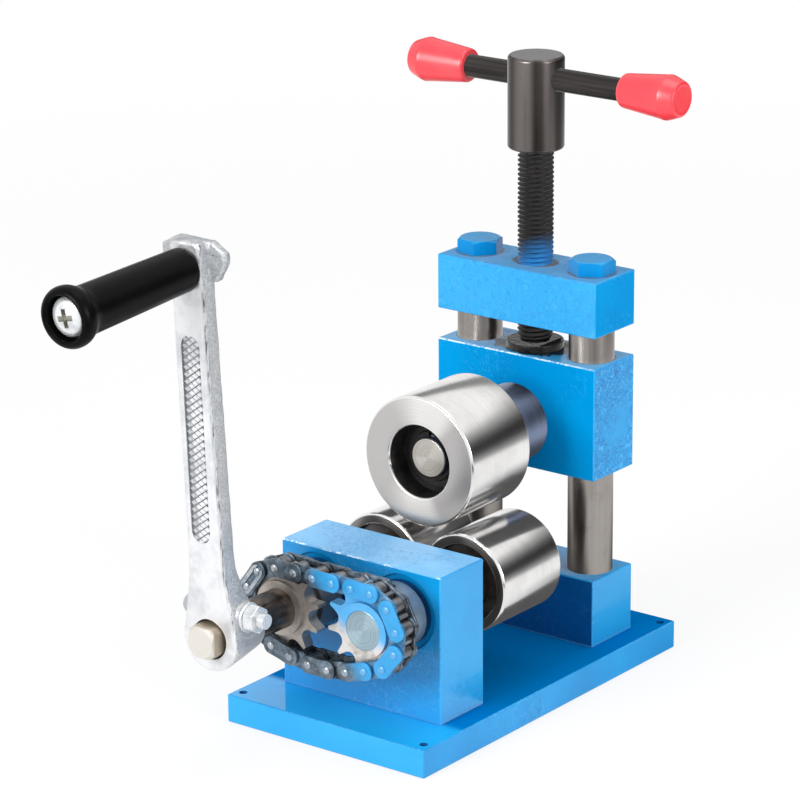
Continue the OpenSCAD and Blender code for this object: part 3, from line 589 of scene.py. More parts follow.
@dataclass(frozen=True)
class RawSteel(Finish):
    """Turned and milled raw steel, warm grey, with overspray on the right, and painted shade on the hub behind the
    teeth and on the teeth the chain wraps.
    """

    spray: Overspray = Overspray((20.4, 53.4), (0.27, 0.963), soft=4.0)
    cover: float = 0.9
    hub_y: Point = (-77.5, -82.5)
    tooth_r: Point = (14.2, 15.2)

    def paint(self, graph: ShaderGraph) -> Material:
        """Warm steel with stains, under a partial film of enamel."""
        at = graph.place()
        spot = graph.noise(at, 120.0, 5.0, 0.7)
        grain = graph.noise(at, 1400.0, 2.0, 0.6)
        bare = graph.blend(spot.step(0.4, 0.8), self.colour, "877F78")
        x, y, z = graph.split(at)
        front = y.step(self.hub_y[0] * MM, self.hub_y[1] * MM)
        # Painted shade: the hub behind the teeth is darker, between the chain and the block.
        bare = graph.blend((1 - front) * 0.75, bare, "5E676E")
        dx, dz = x - SHAFT_X * MM, z - SHAFT_Z * MM
        rim = (dx * dx + dz * dz).root().step(self.tooth_r[0] * MM, self.tooth_r[1] * MM)
        # Painted shade on the teeth that the chain wraps, between its plates.
        teeth = rim * dx.step(-6 * MM, 4 * MM)
        bare = graph.blend(teeth * 0.7, bare, "3A3C40")
        film = self.spray.mask(graph) * (front * 0.8 + 0.2) * (1 - teeth * 0.9) * self.cover
        body = graph.blend(film, bare, "1F9AD6")
        return graph.surface(Base_Color=body, Metallic=0.8 - film * 0.75, Roughness=spot * 0.2 + grain * 0.1 + 0.26,
                             Normal=graph.bump(grain + spot, 0.16, 0.05))


@dataclass(frozen=True)
class BlackOxide(Finish):
    """Blackened steel with lengthwise streaks and rubbed patches."""

    lines: Triple = (1500.0, 1500.0, 12.0)
    rough: float = 0.3
    metal: float = 0.75
    streak: float = 0.4
    spray: Overspray | None = None
    rub: float = 0.35
    gloss: float = 0.5
    sheen_axis: Point | None = None
    lumps: float = 0.0

    def paint(self, graph: ShaderGraph) -> Material:
        """Near-black steel with grey streaks, and painted highlights in upright bands about an axis where its X and Y
        are given.
        """
        at = graph.place()
        line = graph.noise(graph.scaled(at, self.lines), 1.0, 3.0, 0.65)
        spot = graph.noise(at, 110.0, 4.0, 0.65)
        body = graph.blend(line.step(0.38, 0.78) * self.streak, self.colour, "6A6461")
        body = graph.blend(spot.step(0.6, 0.85) * self.rub, body, "6B6663")
        if self.spray:
            body = graph.blend(self.spray.mask(graph) * 0.85, body, "1E87D2")
        if self.sheen_axis:
            # Painted reflection: bright upright bands by angle about the axis, as a turned hub would show.
            x, y, _ = graph.split(at)
            angle = y.maths("ARCTAN2", y - self.sheen_axis[1] * MM, x - self.sheen_axis[0] * MM)
            wide = (angle * 3.0 + math.radians(250)).cosine().step(0.1, 0.95)
            narrow = (angle * 3.0 + math.radians(78)).cosine().step(0.55, 0.95) * 0.7
            body = graph.blend(wide.most(narrow) * 0.7, body, "787270")
        relief = graph.bump(line, 0.9, self.lumps) if self.lumps else graph.bump(line, 0.07, 0.03)
        return graph.surface(Base_Color=body, Metallic=self.metal, Specular_IOR_Level=self.gloss,
                             Roughness=line * 0.18 + spot * 0.1 + self.rough - 0.12, Normal=relief)


@dataclass(frozen=True)
class Moulded(Finish):
    """Gloss moulded plastic with a faint flow mottle."""

    rough: float = 0.24
    lift: str = "FF7A80"
    mottle: float = 0.25
    gloss: float = 0.4

    def paint(self, graph: ShaderGraph) -> Material:
        """Plastic with a soft mottle and fine scuffs."""
        at = graph.place()
        flow = graph.noise(at, 70.0, 3.0, 0.6, 0.6)
        fine = graph.noise(at, 900.0, 2.0, 0.6)
        body = graph.blend(flow.step(0.4, 0.75) * self.mottle, self.colour, self.lift)
        return graph.surface(Base_Color=body, Roughness=flow * 0.1 + fine * 0.08 + self.rough - 0.08,
                             Specular_IOR_Level=self.gloss, IOR=1.5,
                             Normal=graph.bump(fine + flow * 2.0, 0.05, 0.03))


@dataclass(frozen=True)
class CastSilver(Finish):
    """Bright cast metal: smooth on its front, grainy and flecked on its sides, with painted shade on its right side and
    along its left rim.
    """

    origin: Triple = (0.0, 0.0, 0.0)
    inward: Triple = (0.0, 1.0, 0.0)
    across: Triple = (1.0, 0.0, 0.0)
    flecks: float = 1.0

    def paint(self, graph: ShaderGraph) -> Material:
        """Silver whose grain grows behind the front face."""
        at = graph.place()
        away = graph.wire(graph.add("ShaderNodeVectorMath", {"operation": "SUBTRACT"},
                                    {0: at, 1: tuple(c * MM for c in self.origin)}))
        depth, right = (graph.wire(graph.add("ShaderNodeVectorMath", {"operation": "DOT_PRODUCT"},
                                             {0: away, 1: axis}), "Value")
                        for axis in (self.inward, self.across))
        side = depth.step(0.9 * MM, 2.4 * MM)
        grain = graph.noise(at, 1100.0, 3.0, 0.7)
        cloud = graph.noise(at, 75.0, 4.0, 0.65)
        pits = graph.noise(at, 620.0, 3.0, 0.7).step(0.64, 0.74)
        rim = depth.step(0.3 * MM, 0.8 * MM) * (1 - depth.step(1.3 * MM, 2.4 * MM)) * right.step(2.0 * MM, 4.0 * MM)
        scrape = graph.noise(graph.scaled(at, (1100.0, 1100.0, 130.0)), 1.0, 3.0, 0.7).step(0.48, 0.62)
        dull = graph.blend(grain.step(0.3, 0.75), "969A9E", "D4D6D8")
        # Painted shade: the right side darker towards the back.
        dull = graph.blend(depth.step(4.0 * MM, 9.0 * MM) * right.step(-4.0 * MM, 0.0) * 0.3, dull, "6A6D72")
        # The sides take the dull grainy tone, the right side more strongly: partly the cast grain, partly painted
        # shade.
        body = graph.blend(side * (right.step(-4.0 * MM, 0.0) * 0.6 + 0.3), self.colour, dull)
        body = graph.blend(cloud.step(0.4, 0.68) * 0.5, body, "A6A9AD")
        # Painted shade: a grey line along the left rim, as an outline.
        left_rim_shade = depth.step(0.15 * MM, 0.45 * MM) * (1 - right.step(-3.0 * MM, -1.0 * MM))
        body = graph.blend(left_rim_shade * 0.55, body, "85888C")
        mark = (pits * (side * 0.55 + 0.18) + scrape * rim * 0.9) * self.flecks
        body = graph.blend(mark, body, "4C4E52")
        return graph.surface(Base_Color=body, Metallic=0.5, Roughness=grain * 0.14 + side * 0.08 + 0.26,
                             Normal=graph.bump(grain * (side * 0.8 + 0.2) + cloud * 1.5, 0.2, 0.09))


@dataclass(frozen=True)
class Zinc(Finish):
    """Bright zinc plate with a faint spangle."""

    rough: float = 0.26

    def paint(self, graph: ShaderGraph) -> Material:
        """Pale plated metal."""
        at = graph.place()
        spangle = graph.cells(at, 700.0)
        haze = graph.noise(at, 240.0, 3.0, 0.6)
        body = graph.blend(haze.step(0.45, 0.8) * 0.6, self.colour, "8F9398")
        return graph.surface(Base_Color=body, Metallic=0.6, Roughness=haze * 0.2 + spangle * 0.05 + self.rough - 0.1,
                             Normal=graph.bump(haze, 0.1, 0.05))


@dataclass(frozen=True)
class Rubber(Finish):
    """Black seal rubber."""

    rough: float = 0.5

    def paint(self, graph: ShaderGraph) -> Material:
        """Dark rubber with a dusty mottle."""
        at = graph.place()
        dust = graph.noise(at, 300.0, 4.0, 0.7)
        body = graph.blend(dust.step(0.55, 0.85) * 0.16, self.colour, "3A3A3C")
        return graph.surface(Base_Color=body, Roughness=dust * 0.2 + self.rough - 0.1,
                             Normal=graph.bump(dust, 0.1, 0.05))


class GeometryGraph(NodeGraph):
    """A Geometry Nodes tree with named sizes."""

    def __init__(self, name: str) -> None:
        """Makes an empty tree with a geometry input and output."""
        super().__init__(bpy.data.node_groups.new(name, "GeometryNodeTree"))
        self.keys: dict[str, str] = {}
        for way in ("INPUT", "OUTPUT"):
            self.tree.interface.new_socket("Geometry", in_out=way, socket_type="NodeSocketGeometry")
        self.entry = self.add("NodeGroupInput")

    def size(self, name: str, kind: str = "NodeSocketFloat") -> Wire:
        """Adds a named input and gives its wire."""
        item = self.tree.interface.new_socket(name, in_out="INPUT", socket_type=kind)
        self.keys[name] = item.identifier
        return self.wire(self.entry, item.identifier)

    def geometry(self) -> Wire:
        """The geometry that comes in."""
        return self.wire(self.entry, 0)

    def close(self, geometry: Wire, material: Material) -> None:
        """Ends the tree: instances made real, with a material."""
        real = self.wire(self.add("GeometryNodeRealizeInstances", inputs={"Geometry": geometry}))
        dressed = self.add("GeometryNodeSetMaterial", inputs={"Geometry": real, "Material": material})
        self.add("NodeGroupOutput", inputs={0: self.wire(dressed)})

    def run(self, source: Mesh, sizes: dict[str, Any]) -> Mesh:
        """Runs the tree on a mesh.

        Args:
            source: The mesh that comes in.
            sizes: A value for each named input.

        Returns:
            The result as a plain mesh.
        """
        carrier = Workshop.link(self.tree.name + "_carrier", source)
        modifier = carrier.modifiers.new("tree", "NODES")
        modifier.node_group = self.tree
        for name, value in sizes.items():
            modifier[self.keys[name]] = value
        return Workshop.baked(carrier)


class Workshop:
    """Small mesh jobs that every sub-assembly shares."""

    @staticmethod
    def link(name: str, mesh: Mesh) -> Object:
        """Puts a mesh into the scene as an object at the origin."""
        piece = bpy.data.objects.new(name, mesh)
        bpy.context.scene.collection.objects.link(piece)
        return piece

    @staticmethod
    def baked(piece: Object) -> Mesh:
        """Turns an object with its modifiers into a plain mesh and removes the object."""
        depsgraph = bpy.context.evaluated_depsgraph_get()
        mesh = bpy.data.meshes.new_from_object(piece.evaluated_get(depsgraph), depsgraph=depsgraph)
        bpy.data.objects.remove(piece)
        return mesh

    @staticmethod
    def smooth(mesh: Mesh, angle: float = 35.0) -> Mesh:
        """Shades a mesh smooth, with edges above the angle kept sharp."""
        mesh.polygons.foreach_set("use_smooth", [True] * len(mesh.polygons))
        mesh.set_sharp_from_angle(angle=math.radians(angle))
        return mesh

    @staticmethod
    def soften(points: Sequence[Point], radius: float, steps: int = 4, closed: bool = True) -> list[Point]:
        """Rounds the corners of a line.

        Args:
            points: The line's corners.
            radius: How far from a corner the rounding starts, at most 0.45 of a side.
            steps: Points of each rounding.
            closed: Whether the last point joins the first.

        Returns:
            The rounded line.
        """
        out: list[Point] = []
        count = len(points)
        for i, corner in enumerate(points):
            if not closed and i in (0, count - 1):
                out.append(corner)
                continue
            here = Vector(corner)
            before, after = Vector(points[i - 1]) - here, Vector(points[(i + 1) % count]) - here
            start = here + before.normalized() * min(radius, 0.45 * before.length)
            end = here + after.normalized() * min(radius, 0.45 * after.length)
            for k in range(steps + 1):
                t = k / steps
                bend = start * (1 - t) ** 2 + here * (2 * t * (1 - t)) + end * t ** 2
                out.append((bend.x, bend.y))
        return out

    @staticmethod
    def lathe(profile: Sequence[Point], steps: int = 128, closed: bool = True) -> BMesh:
        """Turns a profile about Z.

        Args:
            profile: Radius and height of each station, in millimetres.
            steps: Facets round the axis.
            closed: Whether the last station joins the first.

        Returns:
            The turned mesh, in millimetres.
        """
        bm = bmesh.new()
        rows: list[list[BMVert]] = []
        for radius, height in profile:
            if radius < 1e-6:
                rows.append([bm.verts.new((0, 0, height))] * steps)
            else:
                rows.append([bm.verts.new((radius * math.cos(2 * math.pi * k / steps),
                                           radius * math.sin(2 * math.pi * k / steps), height))
                             for k in range(steps)])
        pairs = list(zip(rows, rows[1:])) + ([(rows[-1], rows[0])] if closed else [])
        for low, high in pairs:
            for k in range(steps):
                ring = [low[k], low[(k + 1) % steps], high[(k + 1) % steps], high[k]]
                corners = list(dict.fromkeys(ring))
                if len(corners) > 2:
                    bm.faces.new(corners)
        bmesh.ops.recalc_face_normals(bm, faces=bm.faces)
        return bm

    @staticmethod
    def turned(profile: Sequence[Point], steps: int, name: str, place: Matrix,
               closed: bool = False) -> Mesh:
        """Turns a profile about the Z axis of a place and makes it a mesh, in metres."""
        return Workshop.finished(Workshop.lathe(profile, steps, closed), name, place)

    @staticmethod
    def prism(outline: Sequence[Point], low: float, high: float) -> BMesh:
        """Extrudes an outline in X and Z from y = low to y = high."""
        bm = bmesh.new()
        near = [bm.verts.new((x, low, z)) for x, z in outline]
        far = [bm.verts.new((x, high, z)) for x, z in outline]
        count = len(outline)
        bm.faces.new(near)
        bm.faces.new(far)
        for k in range(count):
            bm.faces.new((near[k], near[(k + 1) % count], far[(k + 1) % count], far[k]))
        bmesh.ops.recalc_face_normals(bm, faces=bm.faces)
        return bm

    @staticmethod
    def finished(bm: BMesh, name: str, place: Matrix | None = None,
                 scale: float = MM) -> Mesh:
        """Places a sketch, brings it to metres and makes it a mesh.

        Args:
            bm: The sketch, freed here.
            name: The mesh's name.
            place: Its place, in millimetres.
            scale: Metres for each unit of the sketch.

        Returns:
            The mesh.
        """
        bm.transform(Matrix.Scale(scale, 4) @ (place or Matrix.Identity(4)))
        mesh = bpy.data.meshes.new(name)
        bm.to_mesh(mesh)
        bm.free()
        return Workshop.smooth(mesh)

    @staticmethod
    def along_y(x: float, y: float, z: float) -> Matrix:
        """A place whose Z axis runs along +Y from the given point."""
        return Matrix.Translation((x, y, z)) @ Matrix.Rotation(math.radians(-90), 4, "X")

    @staticmethod
    def along_x(x: float, y: float, z: float, way: Side = Side.RIGHT) -> Matrix:
        """A place whose Z axis runs along X from the given point."""
        return Matrix.Translation((x, y, z)) @ Matrix.Rotation(math.radians(90 * way.value), 4, "Y")

    @staticmethod
    def solid(node: str) -> BMesh:
        """A merged copy of a CAD node, with flat faces joined, in metres."""
        bm = bmesh.new()
        bm.from_mesh(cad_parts[node].data)
        bmesh.ops.remove_doubles(bm, verts=bm.verts, dist=2e-6)
        bmesh.ops.dissolve_limit(bm, angle_limit=math.radians(0.6), verts=bm.verts, edges=bm.edges)
        return bm

    @staticmethod
    def bevelled(node: str, width: float, segments: int = 3, edge_slot: int = 0,
                 least: float = 40.0, straight: float = 0.0, crease: float = 50.0) -> Mesh:
        """A copy of a CAD node with its edges rounded.

        Args:
            node: The node's name.
            width: Width of the rounding, in millimetres.
            segments: Facets of the rounding.
            edge_slot: Material slot of the rounded faces.
            least: Edges that turn less than this many degrees stay.
            straight: Where above 0, only edges longer than this many millimetres are rounded.
            crease: Edges that turn more than this many degrees stay sharp.

        Returns:
            The mesh.
        """
        bm = Workshop.solid(node)
        edges = [e for e in bm.edges if len(e.link_faces) == 2 and e.calc_face_angle(0.0) > math.radians(least)]
        long_edges = [e for e in edges if e.calc_length() > straight * MM] if straight else edges
        bmesh.ops.bevel(bm, geom=long_edges, offset=width * MM, offset_type="OFFSET", segments=segments, profile=0.5,
                        affect="EDGES", clamp_overlap=not straight, material=edge_slot)
        mesh = bpy.data.meshes.new(node + "_rounded")
        bm.to_mesh(mesh)
        bm.free()
        Workshop.smooth(mesh, crease)
        carrier = Workshop.link(node + "_carrier", mesh)
        even = carrier.modifiers.new("even", "WEIGHTED_NORMAL")
        even.keep_sharp = True
        return Workshop.baked(carrier)

    @staticmethod
    def cut(mesh: Mesh, cutters: Iterable[Mesh]) -> Mesh:
        """Cuts other meshes out of a mesh."""
        carrier = Workshop.link(mesh.name + "_carrier", mesh)
        tools = [Workshop.link(f"{mesh.name}_tool{i}", c) for i, c in enumerate(cutters)]
        for tool in tools:
            step = carrier.modifiers.new("cut", "BOOLEAN")
            step.operation = "DIFFERENCE"
            step.solver = "EXACT"
            step.object = tool
        result = Workshop.baked(carrier)
        for tool in tools:
            bpy.data.objects.remove(tool)
        return result

    @staticmethod
    def cast(parts: Sequence[Mesh], voxel: float, smoothing: int, lumps: float,
             high: float) -> Mesh:
        """Runs several closed meshes into one casting with soft edges.

        Args:
            parts: The closed meshes, in metres.
            voxel: Grain of the union, in millimetres.
            smoothing: Rounds of smoothing.
            lumps: How far the skin rises and falls, in millimetres.
            high: The height above which it is three times as lumpy, in millimetres.

        Returns:
            The casting.
        """
        bm = bmesh.new()
        for part in parts:
            bm.from_mesh(part)
        mesh = bpy.data.meshes.new("casting")
        bm.to_mesh(mesh)
        bm.free()
        carrier = Workshop.link("casting_carrier", mesh)
        union = carrier.modifiers.new("union", "REMESH")
        union.mode = "VOXEL"
        union.voxel_size = voxel * MM
        ease = carrier.modifiers.new("ease", "SMOOTH")
        ease.factor = 0.5
        ease.iterations = smoothing
        skin = Workshop.baked(carrier)
        normals = [vertex.normal.copy() for vertex in skin.vertices]
        for vertex, normal in zip(skin.vertices, normals):
            lump = noise.noise(vertex.co * 170) + 0.5 * noise.noise(vertex.co * 420)
            vertex.co += normal * (lump * lumps * (3 if vertex.co.z > high * MM else 1) * MM)
        return skin

    @staticmethod
    def joined(meshes: Sequence[Mesh], name: str) -> Mesh:
        """Puts several meshes into one, keeping slot numbers."""
        bm = bmesh.new()
        for mesh in meshes:
            bm.from_mesh(mesh)
        whole = bpy.data.meshes.new(name)
        bm.to_mesh(whole)
        bm.free()
        return Workshop.smooth(whole)

    @staticmethod
    def sort_faces(mesh: Mesh, choose: Callable[[Vector, Vector], int]) -> Mesh:
        """Gives each face a slot from its centre in millimetres and its normal."""
        for face in mesh.polygons:
            face.material_index = choose(face.center / MM, face.normal)
        return mesh

    @staticmethod
    def piece(name: str, mesh: Mesh, body: Body, slot: Slot, finishes: Sequence[Finish],
              stands_for: Sequence[str] = (), mirrored: bool = True) -> Object:
        """Makes a dressed piece that rides on a body.

        Args:
            name: The piece's name.
            mesh: Its mesh, in place.
            body: The body that it rides on.
            slot: A material slot name; not used.
            finishes: A finish for each of the mesh's slots.
            stands_for: CAD nodes that it replaces.
            mirrored: Whether the polished steel shows it.

        Returns:
            The piece.
        """
        slots = [face.material_index for face in mesh.polygons]
        mesh.materials.clear()
        for finish in finishes:
            mesh.materials.append(finish.material())
        mesh.polygons.foreach_set("material_index", [min(k, len(finishes) - 1) for k in slots])
        made = Workshop.link(name, mesh)
        made.visible_glossy = mirrored
        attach(made, body.value)
        if stands_for:
            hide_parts(*stands_for)
        LOG.info("%s: %d faces on %s", name, len(mesh.polygons), body.value)
        return made

    @staticmethod
    def repaint(node: str, finish: Finish) -> None:
        """Gives a CAD node's own object a finish."""
        for material_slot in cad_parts[node].material_slots:
            material_slot.material = finish.material()
        LOG.info("%s: repainted", node)


@dataclass(frozen=True)
class Palette:
    """The machine's finishes."""

    enamel: Finish = Enamel("blue_enamel", "0094D6", "0082C4", spread=(0.42, 0.56), relief=0.4, depth=0.28)
    # A lighter copy for the base's front face: painted light.
    enamel_pale: Finish = Enamel("blue_enamel_pale", "24A0DC", "1A98D4", spread=(0.6, 0.74))
    enamel_wormy: Finish = Enamel("blue_enamel_wormy", "009CDE", peel=1.0, spread=(0.26, 0.42), relief=0.85,
                                  depth=0.32)
    enamel_fine: Finish = Enamel("blue_enamel_fine", "22A4E2", "149ADA", spread=(0.3, 0.48), relief=0.3)
    # Carriage and bridge tops: grease round the screw, and painted contact shadow round the posts and bolt heads.
    enamel_greased: Finish = Enamel("blue_enamel_greased", "46AEE6", "38A4DE", spread=(0.56, 0.7), mirror=0.5,
                                    coat=0.25, grease=(13.4, 5.0))
    enamel_oiled: Finish = Enamel("blue_enamel_oiled", "129EDE", "0890D0", spread=(0.56, 0.7), mirror=0.5,
                                  coat=0.25, grease=(7.7, 1.4))
    enamel_smooth: Finish = Enamel("blue_enamel_smooth", "009CDE", spread=(0.6, 0.74))
    # A paler copy for the front block's top face: painted light from above.
    enamel_top: Finish = Enamel("blue_enamel_top", "82C6F4", "76BCEE", spread=(0.42, 0.56), mirror=0.3, coat=0.15,
                                relief=0.45)
    # A lighter, glossier copy for the right faces of the front and rear blocks and the bolt tops: painted light.
    enamel_side: Finish = Enamel("blue_enamel_side", "129EDE", "0890D0", spread=(0.56, 0.7), mirror=0.5, coat=0.25)
    # The base's top: a coat sheen on the front strip only, with painted shade behind it.
    enamel_sheen: Finish = Enamel("blue_enamel_sheen", "24AEF0", "18A4E8", spread=(0.62, 0.76), mirror=0.0, coat=1.0,
                                  coat_to=-60.0)
    # A slightly darker copy with almost no gloss for the bridge's right face and the carriage's front, which lies in
    # shade: painted shade.
    enamel_deep: Finish = Enamel("blue_enamel_deep", "0096D8", "0088CA", mirror=0.02, coat=0.0, relief=0.25)
    enamel_shade: Finish = Enamel("blue_enamel_shade", "005A9E", "00508E", mirror=0.12, coat=0.0, relief=0.15)
    # Rounded edges in a lighter blue, and the upper front edges dotted pale: painted highlight with some wear.
    enamel_edge: Finish = Enamel("blue_enamel_edge", "1AA4E6", wear_and_glint=0.03)
    enamel_glint_rubbed: Finish = Enamel("blue_enamel_rubbed", "1FA8EA", wear_and_glint=1.0)
    bolt_enamel: Finish = Enamel("blue_enamel_bolt", "068ACC", "067AB8", peel=0.2, spread=(0.7, 0.9), mirror=0.06,
                                 coat=0.1)
    turned: Finish = TurnedSteel("turned_roller", "F3F2F1")
    # Dark steel for the rollers' recesses and bores: painted shade.
    recess: Finish = TurnedSteel("roller_recess", "4A4746", rough=0.36)
    collar: Finish = GroundSteel("spindle_collar", "7C8CAC", lines=(30.0, 3200.0, 30.0), rough=0.4, stain="616C86")
    # Posts, darker above the carriage: painted shade between carriage and bridge.
    post: Finish = GroundSteel("guide_post", "A09B97", lines=(900.0, 900.0, 12.0), stain="867C74", dim_above=133.0)
    sleeve: Finish = GroundSteel("sleeve", "7A736D", lines=(30.0, 3000.0, 30.0), rough=0.36)
    bearing: Finish = GroundSteel("bearing_ring", "8F9093", lines=(30.0, 3000.0, 30.0))
    shaft: Finish = ShaftSteel("crank_shaft", "7A706A")
    # The hub, with painted highlights in upright bands about the screw's axis.
    hub: Finish = BlackOxide("handle_hub", "383432", lines=(260.0, 260.0, 6.0), rough=0.26, metal=0.9,
                             sheen_axis=(0.0, COLUMN_Y))
    bar: Finish = BlackOxide("cross_bar", "2A2726", lines=(10.0, 420.0, 420.0), rough=0.34, metal=0.85, streak=0.35)
    screw: Finish = BlackOxide("lead_screw", "100E0E", lines=(400.0, 400.0, 400.0), rough=0.4, metal=0.3, streak=0.1,
                               spray=Overspray((2.0, 175.0), (0.35, -0.937), soft=8.0, above=160.0), rub=0.08,
                               gloss=0.2)
    oiled: Finish = BlackOxide("gland_oiled", "080707", lines=(330.0, 330.0, 330.0), rough=0.24, metal=0.1,
                               streak=0.1, rub=0.02, gloss=0.3, lumps=0.35)
    ring: Finish = BlackOxide("black_ring", "110F0F", lines=(300.0, 300.0, 300.0), rough=0.42, metal=0.4, streak=0.12,
                              rub=0.06)
    seal: Finish = Rubber("bearing_seal", "0C0B0B")
    painted_seal: Finish = Rubber("painted_seal", "0B4E86", rough=0.36)
    red: Finish = Moulded("red_cap", "E8303C", rough=0.3, lift="F65A62", mottle=0.2, gloss=0.8)
    black: Finish = Moulded("grip_black", "080808", rough=0.3, lift="101011", mottle=0.4, gloss=0.06)
    zinc: Finish = Zinc("zinc_plate", "DEE0E2")
    # Darker zinc for the cross recess of the grip's bolt: painted shade.
    zinc_shade_recess: Finish = Zinc("zinc_recess", "9A998D")
    chain: Finish = ChainSteel("chain_plate", "4A5661")
    chain_dark: Finish = ChainSteel("chain_inner", "2B3036", cover=0.35)
    barrel: Finish = ChainSteel("chain_barrel", "6E6058", cover=0.1)
    pin: Finish = ChainSteel("chain_pin", "B9BDC1", cover=0.82)
    sprocket: Finish = RawSteel("sprocket_steel", "DEDBD8")
    sprocket_bare: Finish = RawSteel("sprocket_bare", "B0AAA4", cover=0.0)


PALETTE = Palette()


@dataclass
class PaintedFrame:
    """Base plate, blocks, bridge and posts."""

    edge: float = 0.55
    post_d: float = 19.0
    post_low: float = 12.0
    post_high: float = 146.42926
    hole: Point = (46.0, 83.2)
    hole_r: float = 2.0
    rubbed: tuple[str, ...] = ("front_bearing_block", "carriage_block")
    # Faces with their own coat: top, pale and side are lit copies, and deep and shade are shaded copies, as painted
    # light and shade; sheen is a painted sheen.
    special: dict[tuple[str, int, int], Coat] = field(default_factory=lambda: {
        ("carriage_block", 0, 1): Coat.WORMY, ("front_bearing_block", 2, 1): Coat.TOP,
        ("base_plate", 2, 1): Coat.SHEEN, ("bridge_bar", 0, 1): Coat.DEEP, ("carriage_block", 1, -1): Coat.DEEP,
        ("rear_post_block", 1, -1): Coat.SHADE, ("rear_post_block", 0, 1): Coat.SIDE,
        ("front_bearing_block", 0, 1): Coat.SIDE, ("carriage_block", 2, 1): Coat.GREASED,
        ("bridge_bar", 2, 1): Coat.OILED, ("base_plate", 1, -1): Coat.PALE})

    def build(self) -> None:
        """Builds the painted blocks, the posts and what holds them."""
        blocks = (("base_plate", Body.FRAME, PALETTE.enamel_smooth),
                  ("front_bearing_block", Body.FRAME, PALETTE.enamel),
                  ("rear_post_block", Body.FRAME, PALETTE.enamel_smooth),
                  ("bridge_bar", Body.FRAME, PALETTE.enamel_fine),
                  ("carriage_block", Body.CARRIAGE, PALETTE.enamel))
        coats = (PALETTE.enamel_edge, PALETTE.enamel_glint_rubbed, PALETTE.enamel_wormy, PALETTE.enamel_top,
                 PALETTE.enamel_sheen, PALETTE.enamel_deep, PALETTE.enamel_shade, PALETTE.enamel_side,
                 PALETTE.enamel_greased, PALETTE.enamel_oiled, PALETTE.enamel_pale)
        for node, body, coat in blocks:
            mesh = Workshop.bevelled(node, self.edge, 3, edge_slot=int(Coat.EDGE), straight=8.0)
            for face in mesh.polygons:
                face.material_index = int(self.coat_of(node, face))
            Workshop.piece(node + "_painted", mesh, body, Slot.PAINT, (coat, *coats), (node,),
                           node == "front_bearing_block")
        bolts = Workshop.bevelled("bridge_bolts", 0.3, 2, crease=14.0)
        # Bolt tops take the lighter, glossier coat: painted light on the top faces.
        Workshop.sort_faces(bolts, lambda centre, normal: 1 if normal.z > 0.9 else 0)
        Workshop.piece("bridge_bolts_painted", bolts, Body.FRAME, Slot.PAINT,
                       (PALETTE.bolt_enamel, PALETTE.enamel_side), ("bridge_bolts",), False)
        for side in Side:
            self.post(side)
        Workshop.repaint("block_screws", PALETTE.sleeve)

    def coat_of(self, node: str, face: MeshPolygon) -> Coat:
        """Chooses the coat of one face of a painted block.

        Args:
            node: The block's name.
            face: The face, whose slot says whether it is a rounded edge.

        Returns:
            The coat.
        """
        if face.material_index:
            # Edges facing up and forward get the pale dotted coat, partly wear and partly painted highlight; the rest
            # get the lighter edge coat, a painted highlight.
            upper_front = face.normal.z > 0.25 and face.normal.y < -0.25
            return Coat.RUBBED if node in self.rubbed and upper_front else Coat.EDGE
        off_hole = abs(face.center.x) / MM - self.hole[0], abs(face.center.y) / MM - self.hole[1]
        if node == "base_plate" and math.hypot(*off_hole) < self.hole_r:
            return Coat.SHADE
        for (owner, axis, way), coat in self.special.items():
            if owner == node and face.normal[axis] * way > 0.9:
                return coat
        return Coat.BODY

    def post(self, side: Side) -> None:
        """Builds one ground post."""
        r, h = self.post_d / 2, self.post_high - self.post_low
        profile = Workshop.soften([(0, 0), (r, 0), (r, h), (0, h)], 0.6, closed=False)
        place = Matrix.Translation((side.value * POST_X, COLUMN_Y, self.post_low))
        mesh = Workshop.turned(profile, 128, "post", place)
        name = "guide_post_" + side.name.lower()
        Workshop.piece(name + "_ground", mesh, Body.FRAME, Slot.GROUND, (PALETTE.post,), (name,), False)


